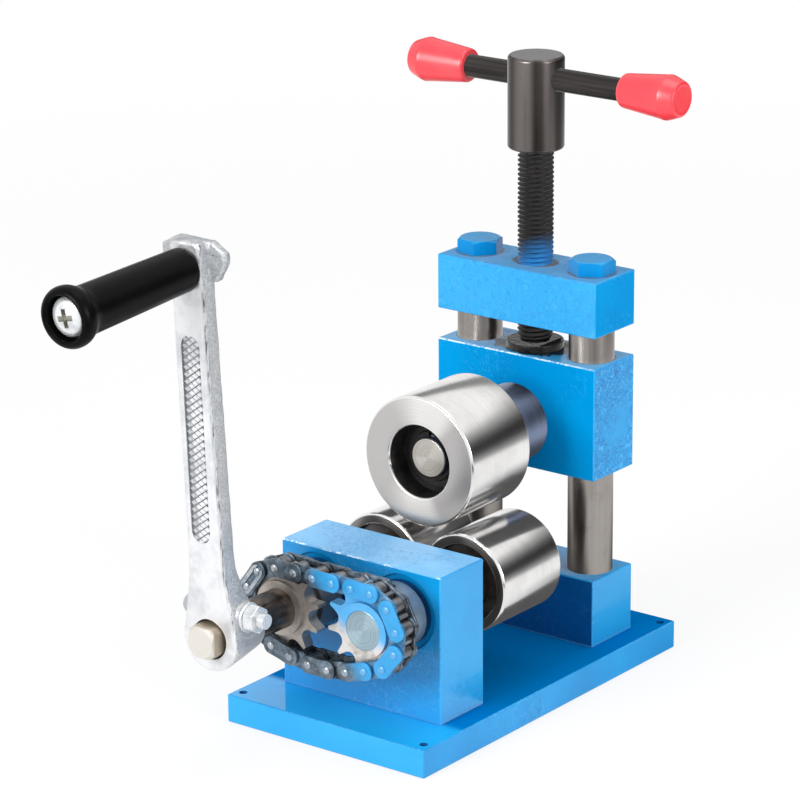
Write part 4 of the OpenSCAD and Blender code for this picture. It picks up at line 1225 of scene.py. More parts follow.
@dataclass
class Rollers:
    """The three bending rollers, the upper one's spindle and the bearings."""

    lower_r: float = 20.9
    lower_y: float = -23.6
    length: float = 39.5
    edge: float = 0.8
    recess_r: float = 16.3
    recess: float = 4.0
    bore_r: float = 7.52
    upper_r: float = 27.4
    upper_y: float = -25.0
    upper_z: float = 104.12926
    upper_bore_r: float = 15.0
    upper_mid_r: float = 13.0
    seats: Point = (17.0, 32.0)
    collar_r: float = 16.5
    collar_y: float = 14.9
    carriage_y: float = 41.5
    carriage_t: float = 28.7
    tail_r: float = 10.0
    spindle_r: float = 8.5
    spindle_y: float = -18.8
    shoulder_y: float = 14.0
    land: float = 2.7

    def build(self) -> None:
        """Builds the rollers and the spindle, and finishes the bearings."""
        self.lower(Side.LEFT, "drive_roller", Body.CRANK)
        self.lower(Side.RIGHT, "driven_roller", Body.DRIVEN)
        self.upper()
        self.spindle()
        self.bearings()

    @staticmethod
    def parts_of(x: float, z: float, inner: float) -> Callable[[Vector, Vector], int]:
        """Makes a rule that sorts the faces of a roller.

        Args:
            x: The roller's axis, across.
            z: The roller's axis, up.
            inner: The radius within which a face belongs to a recess or the bore.

        Returns:
            The rule: 0 for the outside, 1 for an end face, 2 for a recess or the bore.
        """
        def choose(centre: Vector, normal: Vector) -> int:
            """Outside, face, or recess and bore."""
            if math.hypot(centre.x - x, centre.z - z) < inner:
                return 2
            return 1 if abs(normal.y) > 0.9 else 0

        return choose

    def lower(self, side: Side, node: str, body: Body) -> None:
        """Builds one lower roller with its recessed ends."""
        r, e, l, q = self.lower_r, self.edge, self.length, self.recess_r
        profile = [(self.bore_r, self.recess), (q - 0.6, self.recess), (q, self.recess - 0.6), (q, 0.5), (q + 0.5, 0),
                   (r - e, 0), (r, e), (r, l - e), (r - e, l), (q + 0.5, l), (q, l - 0.5), (q, l - self.recess + 0.6),
                   (q - 0.6, l - self.recess), (self.bore_r, l - self.recess)]
        x = side.value * SHAFT_X
        mesh = Workshop.turned(Workshop.soften(profile, 0.25, 2), 144, node,
                               Workshop.along_y(x, self.lower_y, SHAFT_Z), closed=True)
        face = FacedSteel(f"{node}_face", "D6D4D2", (x, SHAFT_Z), turn=1.1)
        Workshop.sort_faces(mesh, self.parts_of(x, SHAFT_Z, q + 0.3))
        Workshop.piece(node + "_turned", mesh, body, Slot.POLISHED, (PALETTE.turned, face, PALETTE.recess), (node,))

    def upper(self) -> None:
        """Builds the upper roller with its bearing seats."""
        r, e, l, b, m = self.upper_r, self.edge, self.length, self.upper_bore_r, self.upper_mid_r
        near, far = self.seats
        profile = [(b + 0.7, 0), (r - e, 0), (r, e), (r, l - e), (r - e, l), (b + 0.7, l), (b, l - 0.7),
                   (b, far), (m, far), (m, near), (b, near), (b, 0.7)]
        mesh = Workshop.turned(Workshop.soften(profile, 0.25, 2), 176, "upper_roller",
                               Workshop.along_y(0, self.upper_y, self.upper_z), closed=True)
        face = FacedSteel("upper_roller_face", "F4F2F0", (0.0, self.upper_z), turn=1.42, dark="C6C4C3")
        Workshop.sort_faces(mesh, self.parts_of(0.0, self.upper_z, b + 0.1))
        Workshop.piece("upper_roller_turned", mesh, Body.UPPER, Slot.POLISHED, (PALETTE.turned, face, PALETTE.recess),
                       ("upper_roller",))

    def spindle(self) -> None:
        """Builds the spindle with its wide collar and its swirled end."""
        front, back = self.spindle_y, self.carriage_y + self.carriage_t
        groove, s, t = front + self.land, self.spindle_r, self.tail_r
        profile = [(0, front), (s - 0.6, front), (s, front + 0.6), (s, groove), (s - 0.5, groove),
                   (s - 0.5, groove + 1.1), (s, groove + 1.1), (s, self.shoulder_y), (s + 2, self.shoulder_y),
                   (s + 2, self.collar_y), (self.collar_r - 0.6, self.collar_y),
                   (self.collar_r, self.collar_y + 0.6), (self.collar_r, self.carriage_y), (t, self.carriage_y),
                   (t, back - 0.5), (t - 0.5, back), (0, back)]
        mesh = Workshop.turned(Workshop.soften(profile, 0.15, 2, False), 128, "spindle",
                               Workshop.along_y(0, 0, self.upper_z))
        end = SwirledEnd("spindle_end", "D6D2CC", (0.0, self.upper_z), turn=0.5, dark="C2BDB6")
        Workshop.sort_faces(mesh, lambda centre, normal: 1 if centre.y < front + 0.5 else 0)
        Workshop.piece("upper_spindle_ground", mesh, Body.CARRIAGE, Slot.GROUND, (PALETTE.collar, end),
                       ("upper_spindle",))

    def bearings(self) -> None:
        """Finishes the bearings' own solids."""
        for node in ("upper_bearing_outer_rings", "upper_bearing_inner_rings", "spindle_retaining_ring",
                     "drive_retaining_ring", "driven_retaining_ring"):
            Workshop.repaint(node, PALETTE.ring)
        Workshop.repaint("upper_bearing_shields", PALETTE.seal)
        Workshop.repaint("lower_bearing_shields", PALETTE.painted_seal)
        for node in ("lower_bearing_balls", "upper_bearing_balls", "drive_bearing_inner_rings",
                     "driven_bearing_inner_rings"):
            Workshop.repaint(node, PALETTE.bearing)
        Workshop.repaint("lower_bearing_outer_rings", PALETTE.bolt_enamel)
        for node in ("drive_sleeve", "driven_sleeve"):
            Workshop.repaint(node, PALETTE.sleeve)


@dataclass
class ChainDrive:
    """The two sprockets, their shafts and the roller chain."""

    pitch: float = 9.525
    teeth: int = 11
    phase: float = 14.0
    inner_half: float = 2.86
    plate_t: float = 1.2
    plate_h: float = 7.8
    pin_r: float = 1.64
    pin_proud: float = 0.8
    barrel_r: float = 3.175
    square_y: float = -111.0
    square_ease: float = -0.09
    driven_end_y: float = -89.3
    pitch_r: float = field(init=False)

    def __post_init__(self) -> None:
        """Works out the pitch circle."""
        self.pitch_r = self.pitch / (2 * math.sin(math.pi / self.teeth))

    def on_sprocket(self, side: Side, angle: float) -> Vector:
        """The pin on one sprocket at an angle outward from the top, as X and Z."""
        a = math.radians(angle)
        return Vector((side.value * (SHAFT_X + self.pitch_r * math.sin(a)),
                       SHAFT_Z + self.pitch_r * math.cos(a)))

    @staticmethod
    def halve(low: float, high: float, above: Callable[[float], bool]) -> float:
        """Halves an interval 41 times towards the place where a test turns."""
        for _ in range(41):
            middle = (low + high) / 2
            low, high = (middle, high) if above(middle) else (low, middle)
        return middle

    def pins(self) -> list[Vector]:
        """Every pin of the closed chain, in order.

        Returns:
            Their places in X and Z, from the top of the right sprocket clockwise.
        """
        step, wrap = 360 / self.teeth, self.teeth // 2
        start = self.on_sprocket(Side.RIGHT, self.phase)
        top = math.ceil((2 * SHAFT_X + self.pitch_r * math.sin(math.radians(self.phase))) / self.pitch)
        left = self.halve(-20, 80, lambda a: (start - self.on_sprocket(Side.LEFT, a)).length < top * self.pitch)
        first = self.on_sprocket(Side.LEFT, left)
        low_from = self.on_sprocket(Side.RIGHT, self.phase + wrap * step)
        low_to = self.on_sprocket(Side.LEFT, left + wrap * step)
        span = (low_to - low_from).length / self.pitch
        links = top + 2 * math.ceil((span - top) / 2)
        heading = math.atan2(low_to.y - low_from.y, low_to.x - low_from.x)
        turn = self.halve(0.0002, math.radians(300 / links),
                          lambda t: math.sin(links * t / 2) / math.sin(t / 2) > span)
        out = [self.on_sprocket(Side.RIGHT, self.phase + k * step) for k in range(wrap + 1)]
        for k in range(links - 1):
            way = heading + ((links - 1) / 2 - k) * turn
            out.append(out[-1] + self.pitch * Vector((math.cos(way), math.sin(way))))
        out += [self.on_sprocket(Side.LEFT, left + k * step) for k in range(wrap, -1, -1)]
        return out + [first.lerp(start, k / top) for k in range(1, top)]

    def repeat_tree(self, name: str, finish: Finish) -> GeometryGraph:
        """A tree that sets one shape on every point, turned as the point says.

        Args:
            name: The tree's name.
            finish: The finish of the repeated shape.

        Returns:
            The tree, with the named inputs Shape and Size.
        """
        graph = GeometryGraph(name)
        shape = graph.size("Shape", "NodeSocketObject")
        size = graph.size("Size")
        turn = graph.wire(graph.add("GeometryNodeInputNamedAttribute", {"data_type": "FLOAT"}, {"Name": "turn"}))
        euler = graph.wire(graph.add("ShaderNodeCombineXYZ", inputs={"Y": turn}))
        rotation = graph.wire(graph.add("FunctionNodeEulerToRotation", inputs={0: euler}))
        source = graph.wire(graph.add("GeometryNodeObjectInfo", inputs={"Object": shape}), "Geometry")
        scale = graph.wire(graph.add("ShaderNodeCombineXYZ", inputs={0: size, 1: size, 2: size}))
        placed = graph.add("GeometryNodeInstanceOnPoints", inputs={
            "Points": graph.geometry(), "Instance": source, "Rotation": rotation, "Scale": scale})
        graph.close(graph.wire(placed), finish.material())
        return graph

    @staticmethod
    def points(places: Sequence[tuple[float, float, float, float]]) -> Mesh:
        """A mesh of points from X, Y, Z in millimetres and a turn about Y."""
        mesh = bpy.data.meshes.new("points")
        mesh.from_pydata([(x * MM, y * MM, z * MM) for x, y, z, _ in places], [], [])
        turn = mesh.attributes.new("turn", "FLOAT", "POINT")
        turn.data.foreach_set("value", [t for _, _, _, t in places])
        return mesh

    def plate(self) -> Mesh:
        """One link plate about its middle, with rounded rims and a slight waist."""
        half, r = self.pitch / 2, self.plate_h / 2
        arc = [math.radians(-78 + 156 * k / 12) for k in range(13)]
        outline = [(half + r * math.cos(a), r * math.sin(a)) for a in arc]
        outline += [(0.0, r * 0.93)]
        outline += [(-half - r * math.cos(a), -r * math.sin(a)) for a in arc]
        outline += [(0.0, -r * 0.93)]
        bm = Workshop.prism(outline, -self.plate_t / 2, self.plate_t / 2)
        rims = [e for e in bm.edges if e.calc_face_angle(0.0) > math.radians(60)]
        bmesh.ops.bevel(bm, geom=rims, offset=0.22, offset_type="OFFSET", segments=2, profile=0.5, affect="EDGES")
        return Workshop.finished(bm, "link_plate")

    def pin(self) -> Mesh:
        """One riveted pin with domed ends, along Y."""
        l, r = self.inner_half + 2 * self.plate_t + 0.1 + self.pin_proud, self.pin_r
        head = [(0, l), (0.5 * r, l - 0.06), (0.82 * r, l - 0.24), (r, l - 0.55)]
        profile = [(x, -y) for x, y in head] + head[::-1]
        return Workshop.turned(profile, 24, "chain_pin", Workshop.along_y(0, 0, 0))

    def barrel(self) -> Mesh:
        """One chain roller, along Y."""
        l, r = self.inner_half - 0.05, self.barrel_r
        profile = [(self.pin_r, -l), (r - 0.4, -l), (r, -l + 0.4), (r, l - 0.4), (r - 0.4, l), (self.pin_r, l)]
        return Workshop.turned(profile, 28, "chain_barrel", Workshop.along_y(0, 0, 0), closed=True)

    def build(self) -> None:
        """Builds the chain, the sprockets and the shafts."""
        pins = self.pins()
        outer, inner = [], []
        for i, here in enumerate(pins):
            there = pins[(i + 1) % len(pins)]
            turn = -math.atan2(there.y - here.y, there.x - here.x)
            middle = (here + there) / 2
            reach = self.inner_half + self.plate_t / 2 + (self.plate_t + 0.1) * (i % 2)
            for way in (-1, 1):
                (outer if i % 2 else inner).append((middle.x, CHAIN_Y + way * reach, middle.y, turn))
        rivets = [(p.x, CHAIN_Y, p.y, 0.0) for p in pins]
        jobs = (("chain_outer_plates", self.plate(), outer, PALETTE.chain, Slot.CHAIN),
                ("chain_inner_plates", self.plate(), inner, PALETTE.chain_dark, Slot.CHAIN),
                ("chain_pins", self.pin(), rivets, PALETTE.pin, Slot.BRIGHT),
                ("chain_rollers", self.barrel(), rivets, PALETTE.barrel, Slot.CHAIN))
        for node, shape, places, finish, slot in jobs:
            pattern = Workshop.link(node + "_pattern", shape)
            mesh = self.repeat_tree(node + "_tree", finish).run(self.points(places), {"Shape": pattern, "Size": 1.0})
            bpy.data.objects.remove(pattern)
            Workshop.smooth(mesh)
            Workshop.piece(node + "_linked", mesh, Body.FRAME, slot, (finish,), (node,))
        clip = Workshop.bevelled("chain_clip", 0.12, 2)
        Workshop.piece("chain_clip_sprung", clip, Body.FRAME, Slot.BRIGHT, (PALETTE.pin,), ("chain_clip",))
        self.sprockets()
        self.shafts()

    def sprockets(self) -> None:
        """Rounds and finishes the sprockets and their set screws."""
        for side, stem, body in ((Side.LEFT, "drive", Body.CRANK), (Side.RIGHT, "driven", Body.DRIVEN)):
            mesh = Workshop.bevelled(stem + "_sprocket", 0.3, 2)
            finish = PALETTE.sprocket if side is Side.RIGHT else PALETTE.sprocket_bare
            Workshop.piece(stem + "_sprocket_milled", mesh, body, Slot.RAW, (finish,), (stem + "_sprocket",))
            Workshop.repaint(stem + "_set_screw", PALETTE.ring)

    def shafts(self) -> None:
        """Rounds the shafts and swirls the driven one's end."""
        mesh = Workshop.bevelled("drive_shaft", 0.5, 3, crease=30.0)
        for vertex in mesh.vertices:
            if vertex.co.y < self.square_y * MM:
                vertex.co.x += (vertex.co.x + SHAFT_X * MM) * self.square_ease
                vertex.co.z += (vertex.co.z - SHAFT_Z * MM) * self.square_ease
        Workshop.piece("drive_shaft_ground", mesh, Body.CRANK, Slot.GROUND, (PALETTE.shaft,), ("drive_shaft",))
        mesh = Workshop.bevelled("driven_shaft", 0.4, 3)
        end = SwirledEnd("driven_shaft_end", "B6D0DC", (SHAFT_X, SHAFT_Z), turn=0.8, dark="A4BDC9")
        Workshop.sort_faces(mesh, lambda centre, normal: 1 if centre.y < self.driven_end_y else 0)
        Workshop.piece("driven_shaft_ground", mesh, Body.DRIVEN, Slot.GROUND, (PALETTE.sleeve, end), ("driven_shaft",))


@dataclass
class Crank:
    """The cast crank arm, its cotter and its grip."""

    length: float = 151.9
    tilt: float = 0.5
    lean: float = 3.0
    eye: Triple = (-SHAFT_X, -132.2, SHAFT_Z)
    depth: float = 9.0
    width_low: float = 17.0
    width_high: float = 14.7
    top: float = 10.4
    flare: float = 31.0
    eye_r: float = 13.2
    eye_back_r: float = 10.1
    eye_l: float = 22.0
    bore_r: float = 8.35
    head_w: float = 31.0
    head_front: float = 5.5
    cotter_y: float = 8.7
    cotter_z: float = 9.27
    boss_r: float = 6.0
    boss_left: float = 21.0
    boss_right: float = 12.3
    panel_w: float = 9.2
    panel_low: float = 44.7
    panel_high: float = 120.4
    panel_sink: float = 0.8
    panel_slant: float = 0.7
    net_step: Point = (4.0, 1.46)
    net_rise: float = 0.4
    grip_l: float = 68.9
    grip_root_r: float = 8.7
    grip_r: float = 9.6
    grip_lip_r: float = 12.1
    grip_flare: float = 11.0
    grip_recess: float = 5.0
    bolt_r: float = 4.0
    head_r: float = 7.8
    head_h: float = 3.6
    nut_h: float = 6.4
    bolt_end: float = 1.5
    cross: Triple = (10.4, 2.3, 4.2)
    cross_turn: float = 12.0
    voxel: float = 0.5

    def at_crank(self) -> Matrix:
        """The eye's place, in millimetres."""
        return Matrix.Translation(self.eye) @ Matrix.Rotation(math.radians(-self.tilt), 4, "Y")

    def at_arm(self) -> Matrix:
        """The leaning arm's place, in millimetres."""
        return self.at_crank() @ Matrix.Rotation(math.radians(self.lean), 4, "X")

    def at_grip(self) -> Matrix:
        """The grip's place, its Z axis outwards from the arm's front face."""
        return self.at_arm() @ Matrix.Translation((0, 0, self.length)) @ Matrix.Rotation(math.radians(90), 4, "X")

    def at_panel(self) -> Matrix:
        """The sunk panel's place, turned a little about its top."""
        high = Matrix.Translation((0, 0, self.panel_high))
        return self.at_arm() @ high @ Matrix.Rotation(math.radians(self.panel_slant), 4, "Y") @ high.inverted()

    def half_width(self, z: float) -> float:
        """Half the arm's width at a height above the shaft."""
        top = self.length + self.top
        straight = self.width_low + (self.width_high - self.width_low) * (z - self.flare) / (top - self.flare)
        share = min(max(z / (self.flare + 6), 0.0), 1.0)
        ease = 1 - share * share * (3 - 2 * share)
        return straight / 2 + (self.eye_r - 0.8 - self.width_low / 2) * ease ** 1.4

    def arm(self) -> Mesh:
        """The arm's bar, lofted from the eye to its top."""
        top = self.length + self.top
        levels = [0.0, 3.0] + [6.0 + 3.0 * k for k in range(12)] + [45.0, 80.0, 120.0, top - 2.2, top - 0.7, top]
        bm = bmesh.new()
        rows = []
        for z in levels:
            w = self.half_width(z) - (0.0 if z <= top - 2.2 else (0.7 if z < top else 2.2))
            share = min(max((z - 6) / 26, 0.0), 1.0)
            d = self.depth + 6.0 * (1 - share * share * (3 - 2 * share))
            section = [(-w, 0.7), (-w + 0.7, 0.0), (w - 0.9, 0.0), (w, 0.9), (w, d - 1.2), (w - 1.2, d), (-w + 1.2, d),
                       (-w, d - 1.2)]
            rows.append([bm.verts.new((x, y, z)) for x, y in section])
        for low, high in zip(rows, rows[1:]):
            for k in range(8):
                bm.faces.new((low[k], low[(k + 1) % 8], high[(k + 1) % 8], high[k]))
        bm.faces.new(rows[0])
        bm.faces.new(rows[-1])
        bmesh.ops.recalc_face_normals(bm, faces=bm.faces)
        return Workshop.finished(bm, "arm_bar", self.at_arm())

    def head(self) -> Mesh:
        """The many-sided head behind the arm's top."""
        h, t = self.head_w / 2, self.top
        outline = [(-0.55 * h, t), (0.55 * h, t), (h, 0.6 * t), (h, 0.25 * t), (0.7 * h, -0.5 * t),
                   (-0.7 * h, -0.5 * t), (-h, 0.25 * t), (-h, 0.6 * t)]
        place = self.at_arm() @ Matrix.Translation((0, 0, self.length))
        return Workshop.finished(Workshop.prism(outline, self.head_front, self.depth), "arm_head", place)

    def eye_boss(self) -> Mesh:
        """The tapered eye on the shaft."""
        profile = [(0, 0), (self.eye_r, 0), (self.eye_r, 3.0), (self.eye_back_r, self.eye_l), (0, self.eye_l)]
        place = self.at_crank() @ Workshop.along_y(0, 0, 0)
        return Workshop.turned(profile, 96, "arm_eye", place)

    def cotter_boss(self) -> Mesh:
        """The boss that carries the cotter across the eye."""
        r, l = self.boss_r, self.boss_left + self.boss_right
        profile = [(0, 2.0), (0.3 * r, 2.0), (0.52 * r, 2.8), (0.7 * r, 4.4), (0.88 * r, 7.5), (r, 11), (r, l), (0, l)]
        place = self.at_crank() @ Workshop.along_x(-self.boss_left, self.cotter_y, self.cotter_z)
        return Workshop.turned(profile, 64, "arm_boss", place)

    def panel_outline(self, grow: float = 0.0) -> list[Point]:
        """The sunk panel's outline, as X and height above the shaft."""
        r = self.panel_w / 2 + grow
        arc = [math.pi * k / 20 for k in range(21)]
        return ([(r * math.cos(a), self.panel_high + r * math.sin(a)) for a in arc]
                + [(-r * math.cos(a), self.panel_low - r * math.sin(a)) for a in arc])

    def build(self) -> None:
        """Builds the casting, its panel, the cotter, the grip and its bolt."""
        casting = Workshop.cast((self.arm(), self.head(), self.eye_boss(), self.cotter_boss()), self.voxel, 6, 0.16,
                                self.eye[2] + self.length - 6)
        bore = Workshop.turned([(0, -9), (self.bore_r, -9), (self.bore_r, 40), (0, 40)], 96, "bore",
                               self.at_crank() @ Workshop.along_y(0, 0, 0))
        panel = Workshop.finished(Workshop.prism(self.panel_outline(), -3.0, self.panel_sink), "panel", self.at_panel())
        mesh = Workshop.smooth(Workshop.cut(casting, (bore, panel)), 45.0)
        inward, across = (tuple(self.at_arm().to_3x3() @ Vector(axis)) for axis in ((0, 1, 0), (1, 0, 0)))
        silver = CastSilver("cast_silver", "DDDEE0", self.eye, inward, across)
        lozenge = CastSilver("cast_silver_net", "E2E3E5", self.eye, inward, across, flecks=0.4)
        # The panel's floor, dark: painted shade in the sunk panel under the raised net.
        sunk_shade = CastSilver("cast_silver_sunk", "505256", self.eye, inward, across, flecks=0.5)
        back = self.at_panel().inverted()

        def choose(centre: Vector, normal: Vector) -> int:
            """Casting, or the floor of the panel."""
            here = back @ centre
            inside = self.panel_low - 5 < here.z < self.panel_high + 5 and abs(here.x) < self.panel_w / 2 - 0.05
            return 1 if inside and 0.5 < here.y < self.panel_sink + 0.05 else 0

        Workshop.sort_faces(mesh, choose)
        Workshop.piece("crank_arm_cast", mesh, Body.CRANK, Slot.CAST, (silver, sunk_shade), ("crank_arm",))
        self.net(lozenge)
        for node in ("cotter_pin", "cotter_washer", "cotter_nut", "grip_nut"):
            part = Workshop.bevelled(node, 0.25, 2)
            Workshop.piece(node + "_plated", part, Body.CRANK, Slot.ZINC, (PALETTE.zinc,), (node,))
        self.grip()
        self.bolt()

    def net(self, finish: Finish) -> None:
        """Raises the net of small pyramids on the panel's floor."""
        graph = GeometryGraph("panel_net")
        width, height = graph.size("Width"), graph.size("Height")
        step_x, step_z, rise = graph.size("Step X"), graph.size("Step Z"), graph.size("Rise")
        columns = graph.wire(graph.add("FunctionNodeFloatToInt", {"rounding_mode": "CEILING"}, {0: width / step_x + 2}))
        rows = graph.wire(graph.add("FunctionNodeFloatToInt", {"rounding_mode": "CEILING"}, {0: height / step_z}))
        grid = graph.wire(graph.add("GeometryNodeMeshGrid", inputs={
            "Size X": (columns - 1) * step_x, "Size Y": (rows - 1) * step_z,
            "Vertices X": columns, "Vertices Y": rows}))
        where = graph.wire(graph.add("GeometryNodeInputPosition"))
        parts = graph.add("ShaderNodeSeparateXYZ", inputs={0: where})
        x, z = graph.wire(parts, 0), graph.wire(parts, 1)
        lift = z / step_z + (rows - 1) * 0.5
        row = lift.maths("ROUND", lift)
        shift = (row.maths("MODULO", row, 2.0) - 0.5) * step_x * 0.5
        moved = graph.wire(graph.add("ShaderNodeCombineXYZ", inputs={0: x + shift, 2: z}))
        past = (abs(z) - (height - width) / 2).most(0.0)
        reach = ((x + shift) * (x + shift) + past * past).root()
        outside = graph.wire(graph.add("FunctionNodeCompare", {"data_type": "FLOAT", "operation": "GREATER_THAN"},
                                       {0: reach, 1: width / 2 + step_x * 0.1}))
        kept = graph.wire(graph.add("GeometryNodeDeleteGeometry", {"domain": "POINT"},
                                    {"Geometry": grid, "Selection": outside}))
        staggered = graph.wire(graph.add("GeometryNodeSetPosition", inputs={"Geometry": kept, "Position": moved}))
        points = graph.wire(graph.add("GeometryNodeMeshToPoints", inputs={"Mesh": staggered}))
        cone = graph.wire(graph.add("GeometryNodeMeshCone", {"fill_type": "NGON"}, {
            "Vertices": 4, "Side Segments": 1, "Fill Segments": 1, "Radius Top": step_x * 0.3,
            "Radius Bottom": step_x * 0.43, "Depth": rise}))
        lid = graph.wire(graph.add("GeometryNodeInstanceOnPoints", inputs={
            "Points": points, "Instance": cone, "Rotation": (math.radians(90), 0.0, 0.0), "Scale": (1.0, 0.73, 1.0)}))
        graph.close(lid, finish.material())
        seed = bpy.data.meshes.new("net_seed")
        w, h = self.panel_w, self.panel_high - self.panel_low + self.panel_w
        mesh = graph.run(seed, {"Width": w * MM, "Height": h * MM, "Step X": self.net_step[0] * MM,
                                "Step Z": self.net_step[1] * MM, "Rise": self.net_rise * MM})
        middle = (self.panel_low + self.panel_high) / 2
        place = self.at_panel() @ Matrix.Translation((0, self.panel_sink, middle))
        mesh.transform(Matrix.Scale(MM, 4) @ place @ Matrix.Scale(1 / MM, 4))
        mesh.polygons.foreach_set("use_smooth", [False] * len(mesh.polygons))
        Workshop.piece("crank_panel_net", mesh, Body.CRANK, Slot.CAST, (finish,))

    def grip(self) -> None:
        """Turns the black grip with its flared, recessed end."""
        l, lip = self.grip_l, self.grip_lip_r
        flare, floor = l - self.grip_flare, l - self.grip_recess
        bore, mouth = self.bolt_r + 0.05, self.head_r + 1.0
        profile = [(bore, 0.3), (self.grip_root_r - 1, 0.3), (self.grip_root_r, 1.3), (self.grip_r - 0.05, flare - 3),
                   (self.grip_r + 0.1, flare), (self.grip_r + 0.8, flare + 2.2), (lip - 0.35, flare + 4.8),
                   (lip, flare + 6.8), (lip - 0.15, l - 2.2), (lip - 1.1, l - 0.5), (lip - 2.2, l), (mouth + 0.7, l),
                   (mouth, l - 0.9), (mouth, floor), (bore, floor)]
        mesh = Workshop.turned(Workshop.soften(profile, 1.1, 5), 128, "grip", self.at_grip(), closed=True)
        Workshop.piece("crank_grip_moulded", mesh, Body.GRIP, Slot.GRIP, (PALETTE.black,), ("crank_grip",))

    def bolt(self) -> None:
        """Turns the grip's pan-head bolt and cuts its cross recess."""
        floor, h, r = self.grip_l - self.grip_recess + 0.1, self.head_h, self.head_r
        back = -self.depth - self.nut_h - self.bolt_end
        dome = [(0, floor + h), (0.35 * r, floor + h - 0.06), (0.62 * r, floor + h - 0.3), (0.84 * r, floor + h - 0.9),
                (0.97 * r, floor + h - 2.0), (r, floor + 0.5), (r - 0.3, floor)]
        shank = [(self.bolt_r, floor), (self.bolt_r, back + 0.6), (self.bolt_r - 0.6, back), (0, back)]
        mesh = Workshop.turned(dome + shank, 96, "grip_bolt", self.at_grip())
        long, wide, deep = self.cross
        cutters = []
        for k in range(2):
            bm = bmesh.new()
            bmesh.ops.create_cube(bm, size=1.0)
            for v in bm.verts:
                taper = 1.0 if v.co.z > 0 else 0.45
                v.co = Vector((v.co.x * long * taper, v.co.y * wide * (0.7 + 0.3 * taper), v.co.z * deep + floor + h))
            turn = Matrix.Rotation(math.radians(self.cross_turn + 90 * k), 4, "Z")
            cutters.append(Workshop.finished(bm, f"cross_{k}", self.at_grip() @ turn))
        mesh = Workshop.smooth(Workshop.cut(mesh, cutters), 40.0)
        home = self.at_grip().inverted()

        def choose(centre: Vector, normal: Vector) -> int:
            """Head and shank, or the cross recess."""
            here = home @ centre
            reach = math.hypot(here.x, here.y)
            return 1 if reach < 0.72 * r and floor + 0.4 < here.z < floor + h - 0.15 - 0.07 * reach else 0

        Workshop.sort_faces(mesh, choose)
        Workshop.piece("grip_bolt_plated", mesh, Body.CRANK, Slot.ZINC, (PALETTE.zinc, PALETTE.zinc_shade_recess),
                       ("grip_bolt",))


